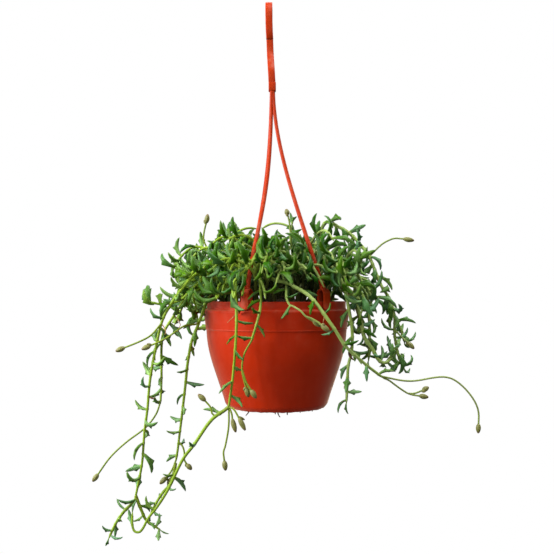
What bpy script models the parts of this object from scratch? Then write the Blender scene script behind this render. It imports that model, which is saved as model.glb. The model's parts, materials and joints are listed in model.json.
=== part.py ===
"""Potted string of dolphins: a trailing succulent in a hanging nursery pot with a moulded hanger.

The origin is the seat inside the hook's crown, where a rod carries the whole thing. +Z is up, +X is to the
right and +Y is away from the viewer. Lengths are metres, except the stem routes, which are millimetres.
"""

import math
import random

import bmesh
import bpy
from mathutils import Matrix, Vector, geometry, kdtree, noise

MM = 0.001

# The whole thing
HOOK_TO_RIM = 0.295
POT_X = 0.0075
RIM_Z = -HOOK_TO_RIM
EYE_DISTANCE = 0.800
EYE_ABOVE_RIM = 0.007
GAP = 0.0003
SEED = 14
MOP_SEED = 15540

# Pot
POT_HEIGHT = 0.104
WALL = 0.0013
POT_SIDES = 32
COLLAR_R = 0.069
COLLAR_H = 0.0066
DRAIN_COUNT = 6
DRAIN_RING_R = 0.030
DRAIN_R = 0.0040

# Soil
SOIL_SIDES = 24
SOIL_EDGE_Z = -0.0058
SOIL_MOUND = 0.0105
SOIL_FLAT_R = 0.060
SOIL_LUMP = 0.0011
HOLE_R = 0.0025
ROOT_DEPTH = 0.016
ROOT_COLLAR = 0.002
STRAIGHT_LENGTH = ROOT_DEPTH + 0.004
HOLE_TOP_Z = 0.020

# Hanger
STRAP_WIDTH = 0.007
STRAP_THICK = 0.004
HOOK_INNER_R = 0.011
HOOK_FACETS = 9
HOOK_TIP_Z = -0.036
BACK_LIMB_Z = -0.040
SHANK_Z = -0.066
SHANK_END_Z = -0.080
HANGER_LEAN = 0.054
LEAN_FROM_Z = -0.020
SHANK_BLOCK = (0.0074, 0.0070, 0.0090)
STRAND_R = 0.0021
STRAND_TOP_R = 0.00175
STRAND_RING_R = 0.0016
STRAND_AIM_DROP = 0.040
STRAND_AIM_SHARE = 0.45
CLIP_ANGLES = (-114.0, -49.0, 116.5)
# How far each strand hangs straight down before it swings out to its clip
STRAND_DROPS = (0.115, 0.062, 0.115)
CLIP_WIDTH = 0.008
CLIP_THICK = 0.0018
CLIP_INNER_R = 0.0626
CLIP_OUTER_R = 0.0715
CLIP_SHOULDER = 0.0076
CLIP_INNER_END = -0.0034
CLIP_TAB_START = -0.0042
CLIP_OUTER_END = -0.0066
CLIP_TAB_FLARE = 0.0016
BARB_TOP = -0.0026
BARB_HEIGHT = 0.0018
BARB_WIDTH = 0.0060

# Leafy stems
STEM_R = 0.00135
TIP_R = 0.00085
STALK_R = 0.00070
FINE_STEP = 0.0030
STEM_CLEAR = 0.0046
BUD_R = 0.0024
BUD_LENGTH = 0.0088
SHOOTS = 29
PLANTED_R = 0.056
CENTRE_R = 0.008
FACING = 0.52
FRONT_MOP = ((0.068, 0.082), (0.006, 0.020))
SIDE_MOP = ((0.080, 0.100), (-0.014, 0.004))
BACK_MOP = ((0.080, 0.100), (-0.030, 0.000))
MOP_SWING = 0.45
MOP_HEIGHT = (0.036, 0.062)
MOP_SLOPE = 15.0
MOP_LEAST_SPAN = 0.040
MOP_WOBBLE = 0.007
MOP_HANG = 0.12
# A mop stem's arch: shares of its span with shares of its height
MOP_ARCH = ((0.05, 0.26), (0.18, 0.70), (0.42, 1.00), (0.68, 0.86), (0.88, 0.50))
# A side shoot's arch: shares of its length with shares of its lift
SIDE_ARCH = ((0.00, 0.0), (0.35, 0.8), (0.75, 1.0), (1.10, 1.0))
MOP_LEAF_GAP = 0.0066
MOP_LEAF = 0.023
SIDE_LEAF = 0.021
SIDE_R = 0.0012
SIDE_SWING = (0.7, 1.3)
SIDE_LENGTH = (0.030, 0.044)
SIDE_LIFT = (0.003, 0.013)
SIDE_DROP = (-0.020, 0.000)
FRONT_SHORTER = 0.75
ROOT_PULL = 0.7
RIM_BAND = -0.004
CLIP_SPOT_SHIFT = 0.0033
CLIP_SPOT_R = 0.0012
SPREAD_ROUNDS = 60
TRACED_EASE = 0.35
PUSH_SHARE = 0.9
POT_CLEAR = 0.0011
SHOULDER_LOOK = 0.7
HANGER_CLEAR = 0.0064
LOOK_AROUND = 0.0068
STEM_FIT = 0.0011
STEM_LONGEST = 0.034
SPOT_STEP = 0.0025
LEAF_CLEAR = 0.0005
OWN_LEAF_CLEAR = 0.0002
OWN_STEM_REACH = 0.0075
POT_LEAF_CLEAR = 0.0006
UNMOVED = 1e-7
BUD_CLEAR = 0.0004
BUD_SINK = 0.001
SIGHT_REACH = (0.004, 0.060)
SIGHT_STEP = 0.004
SIGHT_R = 0.0012
# Round windows in the front view that the mop leaves open, as right, up and radius, with how near a thing has
# to be to matter: the pot's mouth with both clips first, then the gaps at its sides
OPEN_VIEWS = (
    (-31, -1, 7, 30), (-22, 2, 7, 30), (-11, 5, 7, 30), (1, 2, 7, 30), (13, 2, 7, 30), (25, 3, 7, 30),
    (36, 1, 7, 30), (48, -1, 8, 30), (61, 3, 6, 30), (-7, 14, 6, 30), (7, 13, 6, 30), (21, 14, 6, 30),
    (34, 14, 6, 30), (89, 20, 8, -200), (79, -17, 6, -200), (94, -40, 8, -200), (-111, 39, 8, -200),
    (-99, 49, 9, -200), (-87, 58, 7, -200), (-77, 62, 6, -200), (-98, -21, 7, -200),
)
VIEW_SHARES = (0.0, 0.4, 0.7, 1.0)
# How many points a mop stem and its side shoots keep at least when they are cut back
LEAST_MAIN, LEAST_SIDE = 28, 5
FIRST_LEAF = 0.012
FIRST_ARM_LEAF = 0.010
LAST_LEAF = 0.001
TUFT_REACH = 0.022
TUFT_GAP = 0.55
TIP_SINK = 0.0006
LEAF_TRIES = 14
FULL_SIZE_TRIES = 8
LATE_SIZE = 0.8
TRY_TURN = 0.62
GOLDEN_ANGLE = math.radians(137.508)

# A leaf's rings: share of its length, half width and half thickness as shares of its full width.
# Each ring is a triangle with a flat upper side, two edges and a keel. The widest ring makes the two fins.
LEAF_RINGS = ((0.26, 0.42, 0.38), (0.42, 0.74, 0.46), (0.60, 0.44, 0.42))
SMALL_LEAF_RINGS = ((0.38, 0.64, 0.44), (0.62, 0.42, 0.40))
SMALL_LEAF_LENGTH = 0.0185
LEAF_FULL_WIDTH = 0.0054
LEAF_FULL_LENGTH = 0.020
# Round spots that cover a leaf of full length: share of its length and radius, and the same for its two fins
LEAF_SPOTS = ((0.2, 0.0020), (0.4, 0.0023), (0.6, 0.0023), (0.8, 0.0016), (1.0, 0.0006))
FIN_SHARE = 0.42
FIN_REACH = 0.0033
FIN_SPOT_R = 0.0009
LEAF_TOP_SHARE = 0.5
LEAF_SIZES = (0.82, 1.12)
LEAF_LEAN = (0.25, 0.75)
LEAF_RISE = 0.12
LEAF_BEND = (math.radians(60), math.radians(150))
SMALL_LEAF_BEND = (math.radians(20), math.radians(85))
BEND_UP = (-0.9, 1.2)
BEND_IN = -0.2
BEND_ASIDE = (-0.6, 0.6)
LEAST_BEND_WAY = 0.1
LEAST_LEVEL = 0.2
# The leaf at a shoot's very tip
TIP_LEAF_SIZE = 0.62
TIP_LEAF_LEAN = 0.9
TIP_LEAF_SPREAD = 0.25


def clear_scene():
    for old in list(bpy.data.objects):
        bpy.data.objects.remove(old, do_unlink=True)


def new_collection(name):
    collection = bpy.data.collections.new(name)
    bpy.context.scene.collection.children.link(collection)
    return collection


def material(name, colour, roughness):
    """A plain finish: one colour with its roughness and no metal."""
    finish = bpy.data.materials.new(name)
    finish.use_nodes = True
    shader = finish.node_tree.nodes["Principled BSDF"]
    shader.inputs["Base Color"].default_value = (*colour, 1.0)
    shader.inputs["Roughness"].default_value = roughness
    shader.inputs["Metallic"].default_value = 0.0
    return finish


def add_object(name, data, collection, finish=None):
    item = bpy.data.objects.new(name, data)
    collection.objects.link(item)
    if finish:
        item.data.materials.append(finish)
    return item


def mark_cutter(item):
    item.hide_render = True
    item.display_type = "WIRE"


def as_mesh(item, collection):
    """The evaluated object as a mesh object in its world place, with its caps welded."""
    bpy.context.view_layer.update()
    evaluated = item.evaluated_get(bpy.context.evaluated_depsgraph_get())
    mesh = bpy.data.meshes.new_from_object(evaluated)
    mesh.transform(item.matrix_world)
    work = bmesh.new()
    work.from_mesh(mesh)
    bmesh.ops.remove_doubles(work, verts=work.verts, dist=0.00001)
    bmesh.ops.recalc_face_normals(work, faces=work.faces)
    work.to_mesh(mesh)
    work.free()
    name = item.name
    bpy.data.objects.remove(item, do_unlink=True)
    return add_object(name, mesh, collection)


def join_by_union(base, helpers, solver="EXACT"):
    """One Boolean union of the base with everything in the helpers collection, applied."""
    if helpers.objects:
        union = base.modifiers.new("union", "BOOLEAN")
        union.operation = "UNION"
        union.operand_type = "COLLECTION"
        union.collection = helpers
        union.solver = solver
        bpy.context.view_layer.update()
        evaluated = base.evaluated_get(bpy.context.evaluated_depsgraph_get())
        joined = bpy.data.meshes.new_from_object(evaluated)
        base.modifiers.clear()
        base.data = joined
    for helper in list(helpers.objects):
        bpy.data.objects.remove(helper, do_unlink=True)


def screw_profile(name, profile, sides, collection):
    """A profile in the XZ plane at +X, turned once round the Z axis."""
    mesh = bpy.data.meshes.new(name)
    edges = [(i, i + 1) for i in range(len(profile) - 1)]
    mesh.from_pydata([(r, 0.0, z) for r, z in profile], edges, [])
    item = add_object(name, mesh, collection)
    screw = item.modifiers.new("turn", "SCREW")
    screw.steps = sides
    screw.render_steps = sides
    screw.use_merge_vertices = True
    screw.merge_threshold = 0.00001
    return item


def flat_outline(name, outline, thickness, collection):
    """A filled outline in the local XY plane, as thick as given and centred on that plane."""
    curve = bpy.data.curves.new(name, "CURVE")
    curve.dimensions = "2D"
    curve.fill_mode = "BOTH"
    curve.extrude = thickness / 2
    spline = curve.splines.new("POLY")
    spline.points.add(len(outline) - 1)
    for point, (x, y) in zip(spline.points, outline):
        point.co = (x, y, 0.0, 1.0)
    spline.use_cyclic_u = True
    return add_object(name, curve, collection)


def tube(name, points, radii, collection, resolution=0):
    """A round or square tube along the points, as a curve with filled caps."""
    curve = bpy.data.curves.new(name, "CURVE")
    curve.dimensions = "3D"
    curve.bevel_depth = 1.0
    curve.bevel_resolution = resolution
    curve.use_fill_caps = True
    spline = curve.splines.new("POLY")
    spline.points.add(len(points) - 1)
    for spot, point, radius in zip(spline.points, points, radii):
        spot.co = (*point, 1.0)
        spot.radius = radius
    return add_object(name, curve, collection)


def tapered(first, last, count):
    return [first + (last - first) * i / (count - 1) for i in range(count)]


def strap_outline(centre_line, thickness):
    """The closed outline of a strap that follows a centre line in its plane."""
    left, right = [], []
    last = len(centre_line) - 1
    for i, point in enumerate(centre_line):
        before = centre_line[max(i - 1, 0)]
        after = centre_line[min(i + 1, last)]
        along = (after - before).normalized()
        offset = Vector((-along.y, along.x)) * thickness / 2
        left.append(point + offset)
        right.append(point - offset)
    return left + right[::-1]


# Pot

def pot_outer():
    """The pot's outer side from the rim down to the foot, as radius and height below the rim."""
    return [
        (COLLAR_R, 0.0),
        (COLLAR_R, -COLLAR_H),
        (0.0726, -0.0082),
        (0.0703, -0.0294),
        (0.0699, -0.0298),
        (0.0685, -0.0440),
        (0.0640, -0.0600),
        (0.0526, -0.0920),
        (0.0502, -0.1000),
        (0.0470, -POT_HEIGHT),
    ]


def pot_inner():
    """The inner side, one wall in from the outer side, from the floor up to the rim."""
    collar, shoulder, belly, taper, heel = (pot_outer()[i] for i in (1, 2, 5, 6, 8))
    corners = [(radius - WALL, height) for radius, height in (heel, taper, belly)]
    corners += [(radius - WALL, height - 0.8 * WALL) for radius, height in (shoulder, collar)]
    floor = (heel[0] - 2 * WALL, -POT_HEIGHT + WALL)
    return [floor] + corners + [(COLLAR_R - WALL, 0.0)]


def make_pot(collection, finish, cutters):
    profile = pot_outer() + [(0.0, -POT_HEIGHT), (0.0, -POT_HEIGHT + WALL)] + pot_inner()
    profile.append(profile[0])
    pot = screw_profile("pot", profile, POT_SIDES, collection)
    pot.location = (POT_X, 0.0, RIM_Z)
    pot.data.materials.append(finish)
    for i in range(DRAIN_COUNT):
        angle = math.tau * (i + 0.5) / DRAIN_COUNT
        spot = Vector((DRAIN_RING_R * math.cos(angle), DRAIN_RING_R * math.sin(angle), -POT_HEIGHT))
        mark_cutter(add_cylinder("drain_%d" % i, pot.location + spot, DRAIN_R, 4 * WALL, 8, cutters))
    for i, angle in enumerate(CLIP_ANGLES):
        add_window_cutter("window_%d" % i, math.radians(angle), cutters)
    cut = pot.modifiers.new("holes", "BOOLEAN")
    cut.operation = "DIFFERENCE"
    cut.operand_type = "COLLECTION"
    cut.collection = cutters
    return pot


def add_cylinder(name, centre, radius, depth, sides, collection):
    work = bmesh.new()
    bmesh.ops.create_cone(work, cap_ends=True, segments=sides, radius1=radius, radius2=radius, depth=depth)
    mesh = bpy.data.meshes.new(name)
    work.to_mesh(mesh)
    work.free()
    cylinder = add_object(name, mesh, collection)
    cylinder.location = centre
    return cylinder


def box_mesh(name, size, collection):
    work = bmesh.new()
    bmesh.ops.create_cube(work, size=1.0, matrix=Matrix.Diagonal((*size, 1.0)))
    mesh = bpy.data.meshes.new(name)
    work.to_mesh(mesh)
    work.free()
    return add_object(name, mesh, collection)


def add_window_cutter(name, angle, collection):
    """The slot in the collar that a clip's barb hooks into."""
    height = BARB_HEIGHT + 4 * GAP
    cutter = box_mesh(name, (4 * WALL, BARB_WIDTH + 4 * GAP, height), collection)
    radius = COLLAR_R - WALL / 2
    middle = BARB_TOP + GAP - height / 2
    cutter.location = (POT_X + radius * math.cos(angle), radius * math.sin(angle), RIM_Z + middle)
    cutter.rotation_euler = (0.0, 0.0, angle)
    mark_cutter(cutter)


# Soil

def soil_height(x, y):
    """The mix's top above the rim at a place given from the pot's axis."""
    share = min(max(1.0 - math.hypot(x, y) / SOIL_FLAT_R, 0.0), 1.0)
    mound = SOIL_MOUND * (3 * share ** 2 - 2 * share ** 3)
    lump = noise.noise(Vector((x, y, 0.3)) / 0.012)
    return SOIL_EDGE_Z + mound + SOIL_LUMP * lump


def make_soil(collection, finish, cutters, roots):
    flat = math.cos(math.pi / POT_SIDES)
    wall = [(radius * flat - GAP, height) for radius, height in pot_inner() if height < SOIL_EDGE_Z]
    wall[0] = (wall[0][0], -POT_HEIGHT + WALL + GAP)
    top_rings = 3
    top_r = (COLLAR_R - WALL) * flat - GAP
    top = [(top_r * (1 - i / top_rings), SOIL_EDGE_Z) for i in range(top_rings + 1)]
    profile = top[::-1] + wall[::-1] + [(0.0, wall[0][1])]
    mesh_object = screw_profile("soil", profile, SOIL_SIDES, collection)
    soil = as_mesh(mesh_object, collection)
    for vertex in soil.data.vertices:
        if abs(vertex.co.z - SOIL_EDGE_Z) < 0.0001:
            vertex.co.z = soil_height(vertex.co.x, vertex.co.y)
    soil.data.transform(Matrix.Translation((POT_X, 0.0, RIM_Z)))
    soil.data.materials.append(finish)
    for i, (x, y) in enumerate(roots):
        top_z = RIM_Z + HOLE_TOP_Z
        bottom_z = root_bottom(x, y) - GAP
        middle = Vector((x, y, (top_z + bottom_z) / 2))
        mark_cutter(add_cylinder("hole_%d" % i, middle, HOLE_R, top_z - bottom_z, 4, cutters))
    cut = soil.modifiers.new("stem holes", "BOOLEAN")
    cut.operation = "DIFFERENCE"
    cut.operand_type = "COLLECTION"
    cut.collection = cutters
    return soil


def root_bottom(x, y):
    return RIM_Z + soil_height(x - POT_X, y) - ROOT_DEPTH


# Hanger

def hook_line():
    """The hook and shank's centre line, as depth and height, from the free tip to the strands."""
    radius = HOOK_INNER_R + STRAP_THICK / 2
    centre_z = -HOOK_INNER_R * math.cos(math.pi / HOOK_FACETS / 2)
    line = [Vector((-radius, HOOK_TIP_Z))]
    for i in range(HOOK_FACETS + 1):
        angle = math.pi * (1 - i / HOOK_FACETS)
        line.append(Vector((radius * math.cos(angle), centre_z + radius * math.sin(angle))))
    bends = 6
    for i in range(bends + 1):
        share = i / bends
        ease = 3 * share ** 2 - 2 * share ** 3
        line.append(Vector((radius * (1 - ease), BACK_LIMB_Z + share * (SHANK_Z - BACK_LIMB_Z))))
    line.append(Vector((0.0, SHANK_END_Z)))
    return line


def clip_line():
    """A clip's centre line, as radius and height from the rim: inner leg, arch, outer leg and thumb tab."""
    middle = (CLIP_INNER_R + CLIP_OUTER_R) / 2
    reach = (CLIP_OUTER_R - CLIP_INNER_R) / 2
    line = [Vector((CLIP_INNER_R, CLIP_INNER_END))]
    steps = 6
    for i in range(steps + 1):
        angle = math.pi * (1 - i / steps)
        line.append(Vector((middle + reach * math.cos(angle), CLIP_SHOULDER + reach * math.sin(angle))))
    line.append(Vector((CLIP_OUTER_R, CLIP_TAB_START)))
    line.append(Vector((CLIP_OUTER_R + CLIP_TAB_FLARE, CLIP_OUTER_END)))
    return line


def lean_at(height):
    """How far the shank has swung to the right at a height below the hook."""
    return HANGER_LEAN * max(LEAN_FROM_Z - height, 0.0)


def strand_points(which):
    """A strand from the shank's end, straight down first and then out to the top of its clip's arch."""
    angle = math.radians(CLIP_ANGLES[which])
    out = Vector((math.cos(angle), math.sin(angle), 0.0))
    middle = (CLIP_INNER_R + CLIP_OUTER_R) / 2
    arch = (CLIP_OUTER_R - CLIP_INNER_R) / 2
    start = Vector((lean_at(SHANK_END_Z), 0.0, SHANK_END_Z)) + out * STRAND_RING_R
    end = Vector((POT_X, 0.0, RIM_Z + CLIP_SHOULDER + arch)) + out * middle
    first_handle = start + Vector((0.0, 0.0, -STRAND_DROPS[which]))
    aim = start + Vector((0.0, 0.0, -STRAND_AIM_DROP))
    return geometry.interpolate_bezier(start, first_handle, end.lerp(aim, STRAND_AIM_SHARE), end, 8)


def make_hanger(collection, finish, helpers):
    hook = flat_outline("hanger", strap_outline(hook_line(), STRAP_THICK), STRAP_WIDTH, collection)
    hook.rotation_euler = (math.radians(90), 0.0, math.radians(90))
    hanger = as_mesh(hook, collection)
    for vertex in hanger.data.vertices:
        vertex.co.x += lean_at(vertex.co.z)
    block = box_mesh("shank_block", SHANK_BLOCK, helpers)
    block.location = (lean_at(SHANK_END_Z), 0.0, SHANK_END_Z)
    for i, degrees in enumerate(CLIP_ANGLES):
        angle = math.radians(degrees)
        points = strand_points(i)
        radii = tapered(STRAND_TOP_R, STRAND_R, len(points))
        as_mesh(tube("strand_%d" % i, points, radii, helpers, 1), helpers)
        outline = strap_outline(clip_line(), CLIP_THICK)
        clip = flat_outline("clip_%d" % i, outline, CLIP_WIDTH, helpers)
        clip.location = (POT_X, 0.0, RIM_Z)
        clip.rotation_euler = (math.radians(90), 0.0, angle)
        as_mesh(clip, helpers)
        inner = COLLAR_R - WALL
        barb = box_mesh("barb_%d" % i, (CLIP_OUTER_R - inner, BARB_WIDTH, BARB_HEIGHT), helpers)
        radius = (CLIP_OUTER_R + inner) / 2
        middle = RIM_Z + BARB_TOP - BARB_HEIGHT / 2
        barb.location = (POT_X + radius * math.cos(angle), radius * math.sin(angle), middle)
        barb.rotation_euler = (0.0, 0.0, angle)
    join_by_union(hanger, helpers)
    hanger.data.materials.append(finish)
    return hanger


# Stem routes

def seen(right, up, near):
    """The place of a point drawn as the viewer sees it.

    Right and up are millimetres from the pot's axis and from the eye's level, on a sheet through that axis.
    Near is how many millimetres the real point lies in front of the sheet, along the same line of sight.
    """
    spread = 1.0 - near * MM / EYE_DISTANCE
    eye_z = RIM_Z + EYE_ABOVE_RIM
    return Vector((POT_X + right * MM * spread, -near * MM, eye_z + up * MM * spread))


class Arm:
    """One stem, side shoot or flower stalk of a plant, with what grows on it."""

    def __init__(self, points, parent=None, leaf_gap=0.0, leaf_length=0.0, thick=STEM_R, thin=TIP_R,
                 bud=0.0, every=1, tuft=False):
        self.points = points
        self.parent = parent
        self.leaf_gap = leaf_gap
        self.leaf_length = leaf_length
        self.thick = thick
        self.thin = thin
        self.bud = bud
        self.every = every
        self.tuft = tuft
        self.fine = []
        self.coarse = []


def trailing(route, parent=None, gap=15.0, length=14.0, tuft=True, every=1):
    """A trailing stem with small, well spaced leaves."""
    points = [seen(*spot) for spot in route]
    return Arm(points, parent, gap * MM, length * MM, every=every, tuft=tuft)


def stalk(route, parent=0, bud=BUD_LENGTH):
    """A thin bare flower stalk that ends in a closed bud."""
    points = [seen(*spot) for spot in route]
    return Arm(points, parent, thick=STALK_R, thin=STALK_R, bud=bud)


def traced_plants():
    """The shoots that show one by one, as right, up and near, each with its side shoots and stalks."""
    plants = {}
    plants["stem_left_long"] = [
        trailing([(-36, 49, 15), (-56, 35, 28), (-71, 28, 36), (-86, 16, 42), (-97, 3, 46),
                  (-106, -10, 48), (-114, -25, 49), (-119, -45, 48), (-124, -70, 47), (-127, -90, 46),
                  (-129, -114, 44), (-132, -137, 42), (-134, -165, 40), (-137, -183, 38),
                  (-142, -207, 36)], gap=11, length=19, tuft=False, every=2),
        trailing([(-142, -207, 36), (-146, -210, 37), (-153, -217, 38), (-160, -227, 39),
                  (-164, -235, 40), (-168, -244, 40)], parent=0, gap=9, length=14),
        trailing([(-140, -200, 36), (-134, -217, 35), (-128, -226, 34), (-122, -231, 34),
                  (-116, -235, 34)], parent=0, gap=10, length=14),
        stalk([(-114, -28, 49), (-125, -40, 54), (-138, -47, 56), (-153, -53, 56)]),
    ]
    plants["stem_left_outer"] = [
        trailing([(-48, 27, 5), (-66, 13, 15), (-82, 3, 22), (-94, -8, 27), (-104, -23, 29),
                  (-113, -38, 30), (-115, -53, 30), (-115, -84, 30), (-116, -109, 30)], gap=11, length=18,
                 tuft=False, every=2),
        stalk([(-116, -107, 30), (-120, -119, 30), (-128, -130, 29), (-136, -137, 28), (-150, -147, 28),
               (-166, -162, 28), (-179, -180, 28)]),
    ]
    plants["stem_left_inner"] = [
        trailing([(-64, -1, 20), (-70, -8, 25), (-74, -18, 30), (-80, -34, 32), (-85, -47, 33),
                  (-89, -69, 33), (-91, -89, 33), (-94, -115, 32), (-97, -140, 32), (-99, -156, 31),
                  (-101, -168, 30)], gap=12, length=16, tuft=False, every=2),
        trailing([(-101, -167, 30), (-103, -180, 31), (-107, -190, 32), (-114, -198, 33),
                  (-122, -211, 34), (-128, -224, 34)], parent=0, gap=13, length=12),
        stalk([(-101, -166, 30), (-105, -176, 30), (-111, -183, 30)]),
        stalk([(-101, -167, 30), (-103, -176, 29), (-106, -184, 28)]),
        stalk([(-98, -148, 32), (-94, -152, 33), (-92, -159, 34), (-92, -166, 34), (-89, -170, 34)],
              bud=0.007),
        stalk([(-78, -26, 31), (-82, -29, 36), (-91, -30, 45), (-100, -36, 52), (-110, -43, 56),
               (-118, -47, 59), (-127, -51, 60)]),
    ]
    plants["stem_front_left"] = [
        trailing([(-50, 33, 30), (-46, 15, 48), (-41, 0, 70), (-40, -18, 79), (-40, -35, 81),
                  (-42, -66, 79), (-44, -86, 77), (-47, -107, 74), (-48, -115, 73)], gap=14, tuft=False),
        trailing([(-48, -112, 73), (-53, -116, 72), (-62, -122, 71), (-70, -131, 70), (-82, -149, 67),
                  (-94, -165, 64), (-107, -192, 60), (-118, -210, 56), (-128, -223, 52), (-134, -234, 50),
                  (-140, -238, 49), (-144, -231, 48), (-144, -217, 47)], parent=0, gap=38, length=18),
        stalk([(-48, -113, 73), (-48, -132, 72), (-51, -150, 72), (-53, -157, 72), (-52, -167, 72)]),
        stalk([(-48, -112, 73), (-45, -118, 74), (-44, -125, 74)], bud=0.0125),
        stalk([(-48, -111, 73), (-42, -115, 76), (-37, -124, 77)], bud=0.0125),
        stalk([(-62, -122, 71), (-65, -122, 71), (-65, -115, 71), (-68, -108, 71), (-72, -105, 71)],
              parent=1),
    ]
    plants["stem_front_middle"] = [
        trailing([(-32, 30, 26), (-22, 27, 42), (-17, 15, 56), (-16, 3, 70), (-16, -12, 81),
                  (-19, -26, 84), (-26, -49, 83)], gap=12, tuft=False),
        stalk([(-26, -47, 83), (-32, -58, 82), (-34, -67, 81), (-34, -78, 80), (-30, -94, 78)]),
        stalk([(-34, -76, 80), (-30, -88, 80), (-25, -96, 80)], parent=1),
    ]
    plants["stem_front_right"] = [
        trailing([(-5, 41, 30), (2, 29, 43), (8, 18, 55), (10, 8, 64), (10, -3, 75), (14, -12, 82)],
                 gap=11, length=16, tuft=False),
        stalk([(13, -10, 82), (23, -15, 86), (30, -22, 86), (38, -27, 84)]),
        stalk([(30, -22, 86), (38, -25, 87), (46, -31, 87)], parent=1),
    ]
    plants["stem_right_long"] = [
        trailing([(-14, 14, 40), (-5, 16, 50), (8, 12, 60), (26, 4, 73), (36, -4, 79), (44, -14, 83),
                  (58, -34, 84), (70, -52, 80), (90, -70, 70), (107, -83, 62)], gap=16, length=14,
                 tuft=False),
        stalk([(105, -82, 63), (126, -86, 56), (140, -86, 52), (156, -83, 48), (168, -82, 46),
               (178, -85, 44), (189, -94, 42), (198, -106, 40), (202, -117, 38), (202, -130, 38)]),
        stalk([(107, -83, 62), (112, -85, 60), (123, -93, 56), (133, -99, 52), (144, -101, 50)]),
        stalk([(133, -99, 52), (141, -98, 49), (147, -95, 47)], parent=2, bud=0.007),
    ]
    plants["stem_right_outer"] = [
        trailing([(46, 68, -8), (62, 68, -5), (76, 59, 0), (85, 49, 5), (92, 40, 10), (98, 26, 14),
                  (105, 9, 18), (113, -4, 20), (118, -21, 20), (118, -38, 18), (120, -51, 16),
                  (123, -64, 14), (128, -74, 12)], gap=7, length=20, every=2),
        stalk([(94, 38, 11), (105, 50, 12), (113, 55, 12), (121, 57, 12), (128, 56, 12)], bud=0.0105),
        stalk([(118, -34, 19), (126, -43, 21), (132, -48, 22)]),
    ]
    plants["stem_right_front"] = [
        trailing([(24, 45, 18), (40, 42, 28), (50, 35, 38), (60, 23, 46), (66, 12, 51), (70, 0, 55),
                  (72, -12, 59), (75, -28, 60), (76, -43, 60), (75, -58, 58), (72, -70, 56),
                  (71, -86, 54), (70, -108, 52)], gap=13, length=17),
    ]
    plants["stem_right_inner"] = [
        trailing([(32, 33, 8), (46, 29, 18), (58, 18, 26), (70, 6, 32), (80, -8, 35), (84, -24, 36),
                  (86, -40, 35)], gap=10, length=19, every=2),
        trailing([(84, -24, 36), (88, -42, 38), (96, -54, 38), (102, -65, 36), (109, -68, 34),
                  (115, -62, 32), (118, -54, 31)], parent=0, gap=12, length=15, every=2),
    ]
    plants["stem_right_middle"] = [
        trailing([(60, 20, -2), (76, 10, 2), (86, -4, 6), (92, -18, 8), (93, -34, 9), (93, -51, 8),
                  (92, -66, 7)], gap=10, length=20, every=2),
    ]
    plants["stem_right_back"] = [
        trailing([(60, 18, -22), (76, 12, -24), (90, 2, -26), (104, -8, -28), (116, -20, -27),
                  (124, -34, -25), (128, -48, -24)], gap=10, length=19, every=2),
    ]
    plants["stem_right_low"] = [
        trailing([(58, 10, -12), (70, 3, -14), (80, -14, -16), (84, -30, -17), (88, -44, -17),
                  (96, -54, -16), (103, -65, -16), (109, -68, -16), (116, -58, -16)], gap=12, length=18),
    ]
    plants["stem_left_bud"] = [
        trailing([(-50, 20, 4), (-60, 34, 6), (-69, 45, 8), (-82, 48, 6), (-94, 40, 2), (-103, 26, -2)],
                 gap=8, length=20, every=2),
        stalk([(-69, 45, 8), (-73, 55, 10), (-72, 65, 11), (-70, 73, 12)]),
    ]
    plants["stem_centre_bud"] = [
        trailing([(16, 32, 10), (15, 48, 17), (14, 62, 22), (16, 73, 23)], gap=9, length=14),
        stalk([(14, 62, 22), (13, 72, 25), (11, 81, 26)], bud=0.006),
    ]
    plants["stem_left_side"] = [
        trailing([(-62, 18, 34), (-78, 12, 38), (-92, -2, 40), (-104, -8, 40), (-118, -9, 40),
                  (-128, -6, 40)], gap=9, length=19, every=2),
    ]
    plants["stem_left_low"] = [
        trailing([(-56, 16, 12), (-72, 10, 8), (-88, -2, 6), (-96, -16, 6), (-102, -30, 7)], gap=9,
                 length=20, every=2),
    ]
    return plants


def curve_through(points, step):
    """Points evenly along a smooth curve through the given points."""
    ends = [2 * points[0] - points[1]] + points + [2 * points[-1] - points[-2]]
    samples = []
    parts = 10
    for i in range(1, len(ends) - 2):
        for k in range(parts):
            t = k / parts
            a, b, c, d = ends[i - 1], ends[i], ends[i + 1], ends[i + 2]
            cubic = (3 * b - a - 3 * c + d) * t ** 3
            samples.append((2 * b + (c - a) * t + (2 * a - 5 * b + 4 * c - d) * t ** 2 + cubic) / 2)
    samples.append(points[-1].copy())
    return evenly(samples, step)


def evenly(samples, step):
    lengths = [0.0]
    for before, after in zip(samples, samples[1:]):
        lengths.append(lengths[-1] + (after - before).length)
    count = max(round(lengths[-1] / step), 2)
    result = []
    k = 0
    for i in range(count + 1):
        wanted = lengths[-1] * i / count
        while k < len(lengths) - 2 and lengths[k + 1] < wanted:
            k += 1
        span = max(lengths[k + 1] - lengths[k], 1e-9)
        result.append(samples[k].lerp(samples[k + 1], (wanted - lengths[k]) / span))
    return result


def root_spots(count):
    """Evenly scattered planting spots round the pot's axis, on a golden spiral."""
    spots = []
    for i in range(count):
        radius = PLANTED_R * math.sqrt((i + 0.5) / count)
        angle = i * GOLDEN_ANGLE
        spots.append(Vector((POT_X + radius * math.cos(angle), radius * math.sin(angle))))
    return spots


def turned(vector, angle):
    return Matrix.Rotation(angle, 3, "Z") @ vector


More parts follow.
